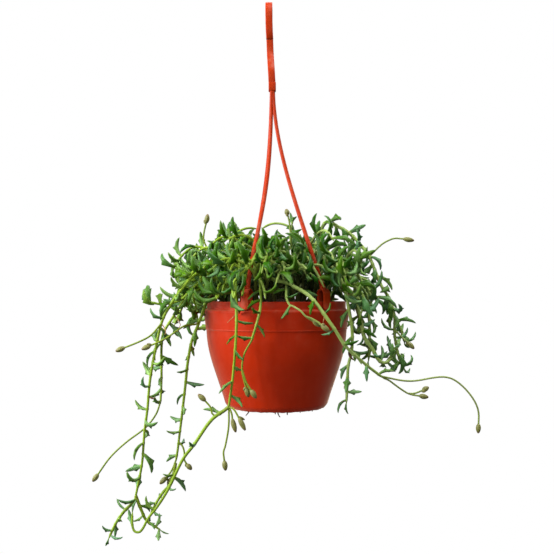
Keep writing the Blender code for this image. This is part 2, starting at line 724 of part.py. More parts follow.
def mop_plant(spot, chance):
    """One shoot of the mop: it rises from its planting spot, arches outwards and droops over the rim."""
    offset = Vector((spot.x - POT_X, spot.y, 0.0))
    out = offset.normalized()
    if offset.length < CENTRE_R:
        out = turned(Vector((1.0, 0.0, 0.0)), math.tau * chance.random())
    out = turned(out, chance.uniform(-MOP_SWING, MOP_SWING))
    reach, end = FRONT_MOP if -out.y > FACING else BACK_MOP if out.y > FACING else SIDE_MOP
    reach, end = chance.uniform(*reach), chance.uniform(*end)
    height = chance.uniform(*MOP_HEIGHT) * (1.0 - MOP_SLOPE * max(offset.length - PLANTED_R / 2, 0.0))
    span = max(reach - offset.length, MOP_LEAST_SPAN)
    side = Vector((-out.y, out.x, 0.0))
    up = Vector((0.0, 0.0, 1.0))
    base = Vector((spot.x, spot.y, RIM_Z))
    points = []
    for share, rise in MOP_ARCH:
        wobble = side * chance.uniform(-MOP_WOBBLE, MOP_WOBBLE)
        points.append(base + out * span * share + wobble + up * height * rise)
    points.append(base + out * (span + MOP_WOBBLE / 2) + up * height * MOP_HANG)
    points.append(base + out * span + up * end)
    arms = [Arm(points, None, MOP_LEAF_GAP, MOP_LEAF, every=7, tuft=True)]
    for start, sign in ((1, 1), (2, -1)):
        way = turned(out, sign * chance.uniform(*SIDE_SWING))
        first = points[start]
        length = chance.uniform(*SIDE_LENGTH) * (FRONT_SHORTER if -out.y > FACING else 1.0)
        lift = up * chance.uniform(*SIDE_LIFT)
        drop = up * chance.uniform(*SIDE_DROP)
        route = [first + way * length * share + lift * rise for share, rise in SIDE_ARCH]
        route[-1] += drop
        arms.append(Arm(route, 0, MOP_LEAF_GAP, SIDE_LEAF, thick=SIDE_R, every=6, tuft=True))
    return arms


def plant_all():
    """Every shoot by name, each rooted at a planting spot of its own, with its stems on smooth curves."""
    plants = traced_plants()
    spots = root_spots(SHOOTS)
    for name, arms in plants.items():
        first = arms[0].points[0]
        wanted = Vector((POT_X, 0.0)).lerp(Vector((first.x, first.y)), ROOT_PULL)
        spot = min(spots, key=lambda place: (place - wanted).length)
        spots.remove(spot)
        arms[0].points = root_points(spot) + arms[0].points
    for i, spot in enumerate(spots):
        arms = mop_plant(spot, random.Random(MOP_SEED + i))
        arms[0].points = root_points(spot) + arms[0].points
        plants["stem_mop_%02d" % (i + 1)] = arms
    for arms in plants.values():
        for arm in arms:
            arm.fine = curve_through(arm.points, FINE_STEP)
    return plants


def root_points(spot):
    """A root's bottom and the place just above the mix where its stem is free to bend."""
    bottom = root_bottom(spot.x, spot.y)
    return [Vector((spot.x, spot.y, bottom)), Vector((spot.x, spot.y, bottom + STRAIGHT_LENGTH))]


# Keeping things apart

def pot_radius(height):
    """The pot's outer radius at a height below the rim."""
    outer = pot_outer()
    for (r1, z1), (r2, z2) in zip(outer, outer[1:]):
        if z2 <= height <= z1 and z1 > z2:
            return r2 + (r1 - r2) * (height - z2) / (z1 - z2)
    return outer[-1][0]


def off_the_pot(point, clear):
    """The point, moved just far enough to keep the given distance from the pot and the mix."""
    x = point.x - POT_X
    radius = math.hypot(x, point.y)
    height = point.z - RIM_Z
    inside = COLLAR_R - WALL
    if height > clear or height < -POT_HEIGHT - clear:
        return point
    if radius < inside - clear:
        floor = soil_height(x, point.y) + clear
        return Vector((point.x, point.y, RIM_Z + max(height, floor)))
    wall = max(pot_radius(min(height, 0.0)), pot_radius(min(height + clear * SHOULDER_LOOK, 0.0)))
    if radius > wall + clear:
        return point
    if height > RIM_BAND:
        return Vector((point.x, point.y, RIM_Z + clear))
    grow = (wall + clear) / radius
    return Vector((POT_X + x * grow, point.y * grow, point.z))


def hanger_spots():
    """Points with a radius that stand for the strands and clips when stems and leaves keep clear."""
    spots = []
    for which, degrees in enumerate(CLIP_ANGLES):
        angle = math.radians(degrees)
        for point in evenly(strand_points(which), FINE_STEP):
            spots.append((point, STRAND_R))
        out = Vector((math.cos(angle), math.sin(angle), 0.0))
        side = Vector((-out.y, out.x, 0.0))
        line = [Vector((spot.x, 0.0, spot.y)) for spot in clip_line()]
        for spot in evenly(line, FINE_STEP):
            for shift in (-CLIP_SPOT_SHIFT, 0.0, CLIP_SPOT_SHIFT):
                place = Vector((POT_X, 0.0, RIM_Z + spot.z)) + out * spot.x + side * shift
                spots.append((place, CLIP_SPOT_R))
    return spots


def spread_stems(plants):
    """Pushes stems of different shoots apart, and off the hanger, the pot and the mix."""
    fixed = hanger_spots()
    rows = []
    for shoot, (name, arms) in enumerate(plants.items()):
        ease = 1.0 if "mop" in name else TRACED_EASE
        for number, arm in enumerate(arms):
            for i in range(len(arm.fine)):
                held = 0.0 if number == 0 and (i - 1) * FINE_STEP < STRAIGHT_LENGTH else ease
                rows.append((shoot, arm, i, held))
    for _ in range(SPREAD_ROUNDS):
        tree = kdtree.KDTree(len(rows) + len(fixed))
        for k, (shoot, arm, i, held) in enumerate(rows):
            tree.insert(arm.fine[i], k)
        for k, (place, radius) in enumerate(fixed):
            tree.insert(place, len(rows) + k)
        tree.balance()
        pushes = {}
        for k, (shoot, arm, i, held) in enumerate(rows):
            here = arm.fine[i]
            push = Vector((0.0, 0.0, 0.0))
            for place, other, distance in tree.find_range(here, LOOK_AROUND):
                if other < len(rows) and rows[other][0] == shoot:
                    continue
                if other < len(rows):
                    need = STEM_CLEAR
                    share = held / max(held + rows[other][3], 0.001)
                else:
                    need = HANGER_CLEAR
                    share = 1.0
                if distance < need:
                    away = (here - place).normalized() if distance > 1e-6 else Vector((0.6, 0.0, 0.8))
                    push += away * (need - distance) * share
            pushes[k] = push
        k = 0
        for arms in plants.values():
            for arm in arms:
                count = len(arm.fine)
                moves = [pushes[k + i] for i in range(count)]
                for _ in range(3):
                    padded = [moves[0]] + moves + [moves[-1]]
                    moves = [(padded[i] + padded[i + 1] * 2 + padded[i + 2]) / 4 for i in range(count)]
                for i in range(count):
                    if rows[k + i][3] > 0.0:
                        arm.fine[i] = off_the_pot(arm.fine[i] + moves[i] * PUSH_SHARE, arm.thick + POT_CLEAR)
                k += count
        for arms in plants.values():
            for arm in arms:
                if arm.parent is not None:
                    seat_arm(arm, arms[arm.parent].fine)


def seat_arm(arm, parent_points):
    """Brings an arm's start back onto its parent, and eases the shift away along the arm."""
    start = arm.fine[0]
    spot = min(parent_points, key=lambda point: (point - start).length)
    shift = spot - start
    reach = max(len(arm.fine) // 2, 1)
    for i in range(reach):
        arm.fine[i] = arm.fine[i] + shift * (1 - i / reach)


def thinned(points, tolerance, longest):
    """The fewest of the points that stay within a tolerance of them all."""
    kept = [points[0]]
    start = 0
    while start < len(points) - 1:
        end = start + 1
        while end + 1 < len(points) and fits(points, start, end + 1, tolerance, longest):
            end += 1
        kept.append(points[end])
        start = end
    return kept


def fits(points, start, end, tolerance, longest):
    chord = points[end] - points[start]
    if chord.length > longest:
        return False
    for i in range(start + 1, end):
        near = geometry.intersect_point_line(points[i], points[start], points[end])[0]
        if (points[i] - near).length > tolerance:
            return False
    return True


def nearest_on(corners, point):
    """The place nearest to a point on a line through the corners."""
    spots = []
    for a, b in zip(corners, corners[1:]):
        spot, share = geometry.intersect_point_line(point, a, b)
        spots.append(a if share < 0 else b if share > 1 else spot)
    return min(spots, key=lambda spot: (spot - point).length)


def in_open_view(place):
    """Whether the viewer sees the place in a window that is to stay open."""
    spread = 1.0 + place.y / EYE_DISTANCE
    right = (place.x - POT_X) / spread / MM
    up = (place.z - RIM_Z - EYE_ABOVE_RIM) / spread / MM
    for x, z, radius, near in OPEN_VIEWS:
        if -place.y / MM > near and math.hypot(right - x, up - z) < radius:
            return True
    return False


def cut_back(arm, least):
    """Shortens a stem that ends in a window that is to stay open."""
    while len(arm.fine) > least and in_open_view(arm.fine[-1]):
        arm.fine.pop()


def settle_stems(plants):
    """Each arm's final corners, with side arms starting inside the stem that they grow from."""
    for name, arms in plants.items():
        for number, arm in enumerate(arms):
            if "mop" in name:
                cut_back(arm, LEAST_SIDE if number else LEAST_MAIN)
            if number == 0:
                root = arm.fine[0]
                collar = root + Vector((0.0, 0.0, ROOT_DEPTH + ROOT_COLLAR))
                free = arm.fine[math.ceil(STRAIGHT_LENGTH / FINE_STEP):]
                arm.coarse = [root] + thinned([collar] + free, STEM_FIT, STEM_LONGEST)
            else:
                start = nearest_on(arms[arm.parent].coarse, arm.fine[0])
                arm.coarse = thinned([start] + arm.fine[1:], STEM_FIT, STEM_LONGEST)


class Crowd:
    """Round spots that things take up, kept in cells so that a clash is found quickly."""

    CELL = 0.008

    def __init__(self):
        self.cells = {}

    def cell(self, place):
        return tuple(math.floor(value / self.CELL) for value in place)

    def add(self, place, radius, owner):
        self.cells.setdefault(self.cell(place), []).append((place, radius, owner))

    def is_free(self, place, radius, shoot, arm, along):
        cx, cy, cz = self.cell(place)
        for dx in (-1, 0, 1):
            for dy in (-1, 0, 1):
                for dz in (-1, 0, 1):
                    for other, size, owner in self.cells.get((cx + dx, cy + dy, cz + dz), ()):
                        own = owner[0] == shoot
                        if own and owner[1] == arm and abs(owner[2] - along) < OWN_STEM_REACH:
                            continue
                        margin = OWN_LEAF_CLEAR if own else LEAF_CLEAR
                        if (other - place).length < radius + size + margin:
                            return False
        return True


def sight_spots():
    """Places between the eye and the two front strands, which the leaves leave open."""
    eye = Vector((POT_X, -EYE_DISTANCE, RIM_Z + EYE_ABOVE_RIM))
    first, last = SIGHT_REACH
    steps = round((last - first) / SIGHT_STEP)
    spots = []
    for which, degrees in enumerate(CLIP_ANGLES):
        if degrees < 0:
            for point in evenly(strand_points(which), SIGHT_STEP):
                way = (eye - point).normalized()
                spots += [(point + way * (first + i * SIGHT_STEP), SIGHT_R) for i in range(steps + 1)]
    return spots


def crowd_of_stems(plants):
    crowd = Crowd()
    for place, radius in hanger_spots() + sight_spots():
        crowd.add(place, radius, (-1, -1, 0.0))
    for shoot, arms in enumerate(plants.values()):
        for number, arm in enumerate(arms):
            along = 0.0
            for point in evenly(arm.coarse, SPOT_STEP):
                crowd.add(point, arm.thick, (shoot, number, along))
                along += SPOT_STEP
            if arm.bud:
                middle = arm.coarse[-1] + bud_way(arm) * arm.bud / 2
                crowd.add(middle, BUD_R + BUD_CLEAR, (shoot, number, along))
    return crowd


def bud_way(arm):
    return (arm.coarse[-1] - arm.coarse[-2]).normalized()


class Leaf:
    """A curved leaf: where it sits, which way it leaves the stem, which way it bends and how far."""

    def __init__(self, base, way, bend_to, length, bend):
        self.base = base
        self.way = way
        self.bend_to = bend_to
        self.length = length
        self.bend = bend
        self.side = way.cross(bend_to)

    def centre(self, share):
        """The place and the direction of the leaf's middle line at a share of its length."""
        turn = self.bend * share
        radius = self.length / max(self.bend, 0.01)
        place = self.base + (self.way * math.sin(turn) + self.bend_to * (1 - math.cos(turn))) * radius
        way = self.way * math.cos(turn) + self.bend_to * math.sin(turn)
        return place, way

    def spots(self):
        """Round spots that cover the leaf, for keeping clear of others."""
        scale = self.length / LEAF_FULL_LENGTH
        result = [(self.centre(share)[0], radius * scale) for share, radius in LEAF_SPOTS]
        fin = self.centre(FIN_SHARE)[0]
        for sign in (-1, 1):
            result.append((fin + self.side * sign * FIN_REACH * scale, FIN_SPOT_R * scale))
        return result


def leaf_sites(arm, number):
    """Where leaves sit on an arm, as distance along it, place, stem direction and rank."""
    if not arm.leaf_gap:
        return
    start = ROOT_DEPTH + FIRST_LEAF if number == 0 else FIRST_ARM_LEAF
    lengths = [(b - a).length for a, b in zip(arm.coarse, arm.coarse[1:])]
    total = sum(lengths)
    rank = 0
    along = start
    while along < total - LAST_LEAF:
        rest = along
        k = 0
        while rest > lengths[k]:
            rest -= lengths[k]
            k += 1
        here = arm.coarse[k].lerp(arm.coarse[k + 1], rest / lengths[k])
        yield along, here, (arm.coarse[k + 1] - arm.coarse[k]).normalized(), rank
        near_tip = arm.tuft and total - along < TUFT_REACH
        along += arm.leaf_gap * (TUFT_GAP if near_tip else 1.0)
        rank += 1
    if arm.tuft:
        way = (arm.coarse[-1] - arm.coarse[-2]).normalized()
        yield total, arm.coarse[-1] - way * TIP_SINK, way, -1


def grow_leaf(crowd, shoot, number, arm, site):
    """The first leaf at a site that is free of everything else, or nothing."""
    along, place, stem_way, rank = site
    at_tip = rank < 0
    chance = random.Random(SEED * 1000003 + shoot * 10007 + number * 1009 + rank)
    up = Vector((0.0, 0.0, 1.0))
    level = stem_way.cross(up)
    first = level.normalized() if level.length > LEAST_LEVEL else Vector((1.0, 0.0, 0.0))
    second = first.cross(stem_way).normalized()
    size = arm.leaf_length * (TIP_LEAF_SIZE if at_tip else chance.uniform(*LEAF_SIZES))
    bends = SMALL_LEAF_BEND if arm.leaf_length < SMALL_LEAF_LENGTH else LEAF_BEND
    for attempt in range(LEAF_TRIES):
        turn = rank * GOLDEN_ANGLE + number + attempt * TRY_TURN
        across = first * math.cos(turn) + second * math.sin(turn)
        lean = stem_way * (TIP_LEAF_LEAN if at_tip else chance.uniform(*LEAF_LEAN))
        way = (across * (TIP_LEAF_SPREAD if at_tip else 1.0) + lean + up * LEAF_RISE).normalized()
        bias = up * chance.uniform(*BEND_UP) + across * BEND_IN + first * chance.uniform(*BEND_ASIDE)
        bend_to = bias - way * bias.dot(way)
        if bend_to.length < LEAST_BEND_WAY:
            continue
        length = size * (1.0 if attempt < FULL_SIZE_TRIES else LATE_SIZE)
        leaf = Leaf(place, way, bend_to.normalized(), length, chance.uniform(*bends))
        if leaf_is_free(crowd, leaf, shoot, number, along):
            return leaf
    return None


def leaf_is_free(crowd, leaf, shoot, number, along):
    for place, radius in leaf.spots():
        if (off_the_pot(place, radius + POT_LEAF_CLEAR) - place).length > UNMOVED:
            return False
        if not crowd.is_free(place, radius, shoot, number, along):
            return False
    return True


def keeps_views(leaf):
    return not any(in_open_view(leaf.centre(share)[0]) for share in VIEW_SHARES)


def grow_leaves(plants):
    """The leaves that the solids carry, by shoot name."""
    crowd = crowd_of_stems(plants)
    grown = {}
    for shoot, (name, arms) in enumerate(plants.items()):
        grown[name] = []
        for number, arm in enumerate(arms):
            for site in leaf_sites(arm, number):
                if site[3] % arm.every and site[3] >= 0:
                    continue
                leaf = grow_leaf(crowd, shoot, number, arm, site)
                if leaf and ("mop" not in name or site[3] < 0 or keeps_views(leaf)):
                    grown[name].append(leaf)
                    for place, radius in leaf.spots():
                        crowd.add(place, radius, (shoot, -1, 0.0))
    return grown


# Solids of the shoots

def leaf_mesh(name, leaf, collection):
    """A leaf lofted from a point inside the stem, through three-cornered rings with two fins, to its tip."""
    work = bmesh.new()
    width = LEAF_FULL_WIDTH * leaf.length / LEAF_FULL_LENGTH
    shape = SMALL_LEAF_RINGS if leaf.length < SMALL_LEAF_LENGTH else LEAF_RINGS
    tail = work.verts.new(leaf.base)
    rings = []
    for share, half_width, half_thick in shape:
        place, way = leaf.centre(share)
        normal = leaf.side.cross(way)
        wide, thick = leaf.side * width * half_width, normal * width * half_thick
        upper = place + thick * LEAF_TOP_SHARE
        corners = (upper + wide, upper - wide, place - thick)
        rings.append([work.verts.new(corner) for corner in corners])
    tip = work.verts.new(leaf.centre(1.0)[0])
    for i in range(3):
        k = (i + 1) % 3
        work.faces.new((tail, rings[0][i], rings[0][k]))
        work.faces.new((tip, rings[-1][k], rings[-1][i]))
        for lower, upper in zip(rings, rings[1:]):
            work.faces.new((lower[i], upper[i], upper[k], lower[k]))
    bmesh.ops.triangulate(work, faces=work.faces)
    bmesh.ops.recalc_face_normals(work, faces=work.faces)
    mesh = bpy.data.meshes.new(name)
    work.to_mesh(mesh)
    work.free()
    return add_object(name, mesh, collection)


def bud_mesh(name, arm, collection):
    """A closed oval bud on the end of its stalk."""
    way = bud_way(arm)
    work = bmesh.new()
    bmesh.ops.create_uvsphere(work, u_segments=6, v_segments=4, radius=1.0)
    mesh = bpy.data.meshes.new(name)
    work.to_mesh(mesh)
    work.free()
    middle = arm.coarse[-1] + way * (arm.bud / 2 - BUD_SINK)
    place = Matrix.Translation(middle) @ way.to_track_quat("Z", "Y").to_matrix().to_4x4()
    mesh.transform(place @ Matrix.Diagonal((BUD_R, BUD_R, arm.bud / 2, 1.0)))
    return add_object(name, mesh, collection)


def arm_tube(name, arm, collection):
    radii = tapered(arm.thick, arm.thin, len(arm.coarse))
    return as_mesh(tube(name, arm.coarse, radii, collection), collection)


def make_shoot(name, arms, leaves, collection, finish, helpers):
    stem = arm_tube(name, arms[0], collection)
    for number, arm in enumerate(arms):
        if number:
            arm_tube("%s_arm_%d" % (name, number), arm, helpers)
        if arm.bud:
            bud_mesh("%s_bud_%d" % (name, number), arm, helpers)
    for i, leaf in enumerate(leaves):
        leaf_mesh("%s_leaf_%d" % (name, i), leaf, helpers)
    join_by_union(stem, helpers)
    stem.data.materials.append(finish)
    return stem


def main():
    clear_scene()
    parts = new_collection("potted_string_of_dolphins")
    pot_cutters = new_collection("pot_cutters")
    soil_cutters = new_collection("soil_cutters")
    helpers = new_collection("helpers")
    plastic = material("terracotta_plastic", (0.48, 0.065, 0.016), 0.45)
    hanger_plastic = material("hanger_plastic", (0.55, 0.055, 0.012), 0.40)
    mix = material("potting_mix", (0.035, 0.022, 0.014), 0.95)
    green = material("leaf_green", (0.10, 0.22, 0.09), 0.50)
    plants = plant_all()
    spread_stems(plants)
    settle_stems(plants)
    leaves = grow_leaves(plants)
    make_pot(parts, plastic, pot_cutters)
    roots = [(arms[0].coarse[0].x, arms[0].coarse[0].y) for arms in plants.values()]
    make_soil(parts, mix, soil_cutters, roots)
    make_hanger(parts, hanger_plastic, helpers)
    for name, arms in plants.items():
        make_shoot(name, arms, leaves[name], parts, green, helpers)


main()
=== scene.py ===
# %% [markdown]
# A potted string of dolphins: a trailing succulent in a brick-red nursery pot that hangs from its own
# moulded hanger. The CAD model is already there as a fixed frame, with the pot, the mix, the hanger and
# every shoot in its right place. This file gives each of them the finish and the fine shape of the real
# thing: a turned pot with its moulding marks, a rounded hanger, crumbly mix, and shoots with hundreds of
# curved, waxy leaves. The shoots are planted and grown by the same rules as in the CAD model, so every leaf
# starts where its coarse twin is, and more leaves then fill the gaps that the coarse model leaves open.

# %% Load the frame
import itertools
import json
import math
import random

import bmesh
import bpy
from mathutils import Matrix, Vector, geometry, kdtree, noise

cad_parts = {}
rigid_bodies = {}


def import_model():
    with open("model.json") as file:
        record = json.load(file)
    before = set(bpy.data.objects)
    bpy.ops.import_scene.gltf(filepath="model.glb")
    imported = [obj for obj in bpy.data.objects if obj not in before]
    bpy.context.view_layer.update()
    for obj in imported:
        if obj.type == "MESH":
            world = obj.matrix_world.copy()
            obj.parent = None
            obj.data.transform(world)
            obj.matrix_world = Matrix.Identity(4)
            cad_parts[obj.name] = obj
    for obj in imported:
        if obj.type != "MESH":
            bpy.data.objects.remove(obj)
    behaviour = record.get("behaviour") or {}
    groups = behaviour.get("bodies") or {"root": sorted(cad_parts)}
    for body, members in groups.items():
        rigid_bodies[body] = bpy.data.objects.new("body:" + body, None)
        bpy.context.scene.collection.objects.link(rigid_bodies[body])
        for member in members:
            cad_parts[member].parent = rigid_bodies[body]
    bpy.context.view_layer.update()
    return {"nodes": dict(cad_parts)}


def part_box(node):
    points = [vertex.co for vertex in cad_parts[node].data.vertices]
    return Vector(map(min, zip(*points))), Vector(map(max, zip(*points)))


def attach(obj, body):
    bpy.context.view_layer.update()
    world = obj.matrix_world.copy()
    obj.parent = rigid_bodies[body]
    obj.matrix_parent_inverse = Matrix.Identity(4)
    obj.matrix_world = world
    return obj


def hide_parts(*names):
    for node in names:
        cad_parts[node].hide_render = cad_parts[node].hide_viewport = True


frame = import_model()
pot_low, pot_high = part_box("pot")
scene = bpy.context.scene

# %% [markdown]
# Everything is measured from the pot: its rim and its axis come from the frame. The hook's seat is the
# origin, so the rim's height also says how long the hanger is. All sizes are metres, and only the drawn
# routes of the stems are millimetres, because they are easier to read and to change that way.

# %% Driving sizes
MM = 0.001
POT_X = round((pot_low.x + pot_high.x) / 2, 5)
RIM_Z = round(pot_high.z, 5)
POT_HEIGHT = round(pot_high.z - pot_low.z, 5)
EYE_DISTANCE = 0.800
EYE_ABOVE_RIM = 0.007
GAP = 0.0003
SEED = 14
MOP_SEED = 15540
UP = Vector((0.0, 0.0, 1.0))
print("pot axis at", POT_X, "rim at", RIM_Z, "pot height", POT_HEIGHT)

# %% [markdown]
# Some steps come back all the time: making an object, keeping the shape that its modifiers give, turning a
# profile into a round body, adding a node to a tree and starting a finish. Each one is written once, here.

# %% Steps that the pieces share
WELD, TURN_WELD = 0.000001, 0.00001


def new_object(name, data):
    made = bpy.data.objects.new(name, data)
    scene.collection.objects.link(made)
    return made


def apply_modifiers(piece):
    """Keeps the shape that the modifiers give, and takes them away."""
    bpy.context.view_layer.update()
    evaluated = piece.evaluated_get(bpy.context.evaluated_depsgraph_get())
    piece.data = bpy.data.meshes.new_from_object(evaluated)
    piece.modifiers.clear()


def turned_mesh(name, profile, steps):
    """A profile of radius and height, turned round the Z axis into a smooth mesh."""
    mesh = bpy.data.meshes.new(name)
    edges = [(i, i + 1) for i in range(len(profile) - 1)]
    mesh.from_pydata([(radius, 0.0, height) for radius, height in profile], edges, [])
    piece = new_object(name, mesh)
    screw = piece.modifiers.new("turn", "SCREW")
    screw.steps = screw.render_steps = steps
    screw.use_merge_vertices = True
    screw.merge_threshold = TURN_WELD
    apply_modifiers(piece)
    work = bmesh.new()
    work.from_mesh(piece.data)
    bmesh.ops.remove_doubles(work, verts=work.verts, dist=WELD)
    bmesh.ops.recalc_face_normals(work, faces=work.faces)
    work.to_mesh(piece.data)
    work.free()
    piece.data.shade_smooth()
    return piece


def paint(piece, finish):
    piece.data.materials.clear()
    piece.data.materials.append(finish)


def add_node(tree, kind, values=None, **settings):
    """A node with its settings, and with values or links put on its inputs by name or by number."""
    node = tree.nodes.new(kind)
    for label, value in settings.items():
        setattr(node, label, value)
    for label, value in (values or {}).items():
        if isinstance(value, bpy.types.NodeSocket):
            tree.links.new(value, node.inputs[label])
        else:
            node.inputs[label].default_value = value
    return node


def start_finish(name, roughness, specular):
    finish = bpy.data.materials.new(name)
    finish.use_nodes = True
    tree = finish.node_tree
    shader = tree.nodes["Principled BSDF"]
    shader.inputs["Roughness"].default_value = roughness
    shader.inputs["Specular IOR Level"].default_value = specular
    return finish, tree, shader


print("turned profiles weld within", TURN_WELD, "m")

# %% [markdown]
# The camera stands level, straight in front of the pot and only 7 mm above its rim, so the rim shows as an
# almost straight line. The picture reaches from the hook to the lowest shoot, so the lens is shifted up a
# little instead of being tilted, which keeps the pot's sides upright. The lens is the one that shows as many
# millimetres at the pot's axis as the picture has pixels, so one pixel there is one millimetre.

# %% Camera
PICTURE = 554
SENSOR_WIDTH = 36.0
LENS_SHIFT = 18 / PICTURE
EYE_RIGHT = 0.0005
CLIP_NEAR, CLIP_FAR = 0.01, 50.0
camera_data = bpy.data.cameras.new("camera")
camera_data.sensor_width = SENSOR_WIDTH
camera_data.sensor_fit = "HORIZONTAL"
camera_data.lens = SENSOR_WIDTH * EYE_DISTANCE / (PICTURE * MM)
camera_data.shift_y = LENS_SHIFT
camera_data.clip_start, camera_data.clip_end = CLIP_NEAR, CLIP_FAR
camera = new_object("camera", camera_data)
camera.location = (POT_X + EYE_RIGHT, -EYE_DISTANCE, RIM_Z + EYE_ABOVE_RIM)
camera.rotation_euler = (math.radians(90), 0.0, 0.0)
scene.camera = camera
print("lens", round(camera_data.lens, 2), "mm")

# %% [markdown]
# The thing hangs in an even, bright room. A round cove stands in for it: a pale floor that curves up into a
# pale wall, turned in one piece round the Z axis, so that no corner or horizon shows behind the leaves from
# any side. The light is a large soft lamp on the left, as the pot's lighter left side shows, with a weaker
# one beside it for the sheen on the pot's edge and a wide one overhead for the leaves. A weak lamp in front,
# one behind, one behind on the right for the edges of the leaves there and the dim pale world fill the rest.

# %% Cove and light
COVE_R, COVE_BEND = 2.6, 0.9
COVE_FLOOR, COVE_TOP = -1.05, 1.6
COVE_STEPS = 96
COVE_BOUNCE = 0.13
LAMP_TARGET = Vector((0.0, 0.0, -0.33))
# Where each square lamp stands, its side in metres and its power in watts
LAMPS = {
    "window_left": ((-1.40, -0.70, 0.30), 0.9, 52.0),
    "edge_left": ((-1.45, 0.25, 0.10), 0.9, 28.0),
    "fill_front": ((0.3, -1.7, 0.2), 0.9, 8.0),
    "sky": ((0.35, -0.45, 1.38), 1.1, 46.0),
    "back_sky": ((0.2, 1.4, 0.9), 1.2, 16.0),
    "edge_right": ((1.10, 0.80, 0.80), 0.9, 18.0),
}
ROOM_COLOUR, ROOM_STRENGTH = (1.0, 0.97, 0.74, 1.0), 0.11


def cove_white():
    """Plain white to look at, but grey where it throws light back, so that the colours stay deep."""
    finish, tree, shader = start_finish("cove_white", 0.9, 0.0)
    shader.inputs["Base Color"].default_value = (COVE_BOUNCE, COVE_BOUNCE, COVE_BOUNCE, 1.0)
    white = add_node(tree, "ShaderNodeEmission", {"Strength": 1.0})
    looked_at = add_node(tree, "ShaderNodeLightPath").outputs["Is Camera Ray"]
    either = add_node(tree, "ShaderNodeMixShader", {0: looked_at, 1: shader.outputs[0], 2: white.outputs[0]})
    tree.links.new(either.outputs[0], tree.nodes["Material Output"].inputs["Surface"])
    return finish


flat_r = COVE_R - COVE_BEND
cove_profile = [(0.0, COVE_FLOOR), (flat_r, COVE_FLOOR)]
for degrees in range(9, 91, 9):
    turn = math.radians(degrees)
    rise = COVE_BEND - COVE_BEND * math.cos(turn)
    cove_profile.append((flat_r + COVE_BEND * math.sin(turn), COVE_FLOOR + rise))
cove_profile.append((COVE_R, COVE_TOP))
cove = turned_mesh("cove", cove_profile, COVE_STEPS)
paint(cove, cove_white())
for name, (place, size, power) in LAMPS.items():
    data = bpy.data.lights.new(name, "AREA")
    data.size = size
    data.energy = power
    lamp = new_object(name, data)
    lamp.location = place
    lamp.rotation_euler = (LAMP_TARGET - Vector(place)).to_track_quat("-Z", "Y").to_euler()
world = bpy.data.worlds.new("pale_room")
world.use_nodes = True
room = world.node_tree.nodes["Background"]
room.inputs["Color"].default_value = ROOM_COLOUR
room.inputs["Strength"].default_value = ROOM_STRENGTH
scene.world = world
scene.view_settings.view_transform = "Standard"
print("cove of", len(cove.data.polygons), "faces and", len(bpy.data.lights), "lamps")

# %% [markdown]
# Real plastic, soil and leaves are never one flat colour. Three effects come back in several finishes, so
# each is built once as a node group: mottling, which drifts between lighter and darker patches, dust, which
# settles on whatever faces up, and streaks, which run down the length of a piece. A group only puts out
# masks, and each finish mixes its own colours with them. Object coordinates keep the patterns in place.

# %% Shared effects
def effect_group(name, inputs, outputs):
    """An empty shader group with named float inputs and outputs, and its two end nodes."""
    group = bpy.data.node_groups.new(name, "ShaderNodeTree")
    for label, value in inputs.items():
        socket = group.interface.new_socket(label, in_out="INPUT", socket_type="NodeSocketFloat")
        socket.default_value = value
    for label in outputs:
        group.interface.new_socket(label, in_out="OUTPUT", socket_type="NodeSocketFloat")
    return group, group.nodes.new("NodeGroupInput"), group.nodes.new("NodeGroupOutput")


def math_node(tree, operation, *values, clamp=False):
    values = dict(enumerate(values))
    return add_node(tree, "ShaderNodeMath", values, operation=operation, use_clamp=clamp).outputs[0]


def vector_node(tree, operation, first, second):
    values = {0: first, "Scale" if operation == "SCALE" else 1: second}
    return add_node(tree, "ShaderNodeVectorMath", values, operation=operation).outputs[0]


def ranged(tree, value, low, high, out_low, out_high):
    """A value between low and high, spread over another range."""
    values = dict(enumerate((value, low, high, out_low, out_high)))
    return add_node(tree, "ShaderNodeMapRange", values).outputs[0]


def noise_at(tree, place, scale, detail):
    values = {"Vector": place, "Scale": scale, "Detail": detail}
    return add_node(tree, "ShaderNodeTexNoise", values).outputs[0]


def make_mottling():
    group, start, end = effect_group("mottling", {"Scale": 60.0, "Contrast": 1.0}, ("Mask", "Fine"))
    place = add_node(group, "ShaderNodeTexCoord").outputs["Object"]
    broad = noise_at(group, place, start.outputs["Scale"], 3.0)
    finer = math_node(group, "MULTIPLY", start.outputs["Scale"], 7.0)
    centred = math_node(group, "SUBTRACT", broad, 0.5)
    strength = math_node(group, "MULTIPLY", start.outputs["Contrast"], 2.4)
    mask = math_node(group, "MULTIPLY_ADD", centred, strength, 0.5, clamp=True)
    group.links.new(mask, end.inputs["Mask"])
    group.links.new(noise_at(group, place, finer, 2.0), end.inputs["Fine"])
    return group


def make_dust():
    group, start, end = effect_group("dust", {"Scale": 90.0, "Amount": 0.5}, ("Mask",))
    facing = add_node(group, "ShaderNodeNewGeometry").outputs["Normal"]
    upward = add_node(group, "ShaderNodeSeparateXYZ", {0: facing}).outputs["Z"]
    place = add_node(group, "ShaderNodeTexCoord").outputs["Object"]
    patches = noise_at(group, place, start.outputs["Scale"], 5.0)
    settled = ranged(group, upward, -0.2, 1.0, 0.05, 1.0)
    spots = ranged(group, patches, 0.45, 0.72, 0.0, 1.0)
    both = math_node(group, "MULTIPLY", settled, spots)
    mask = math_node(group, "MULTIPLY", both, start.outputs["Amount"], clamp=True)
    group.links.new(mask, end.inputs["Mask"])
    return group


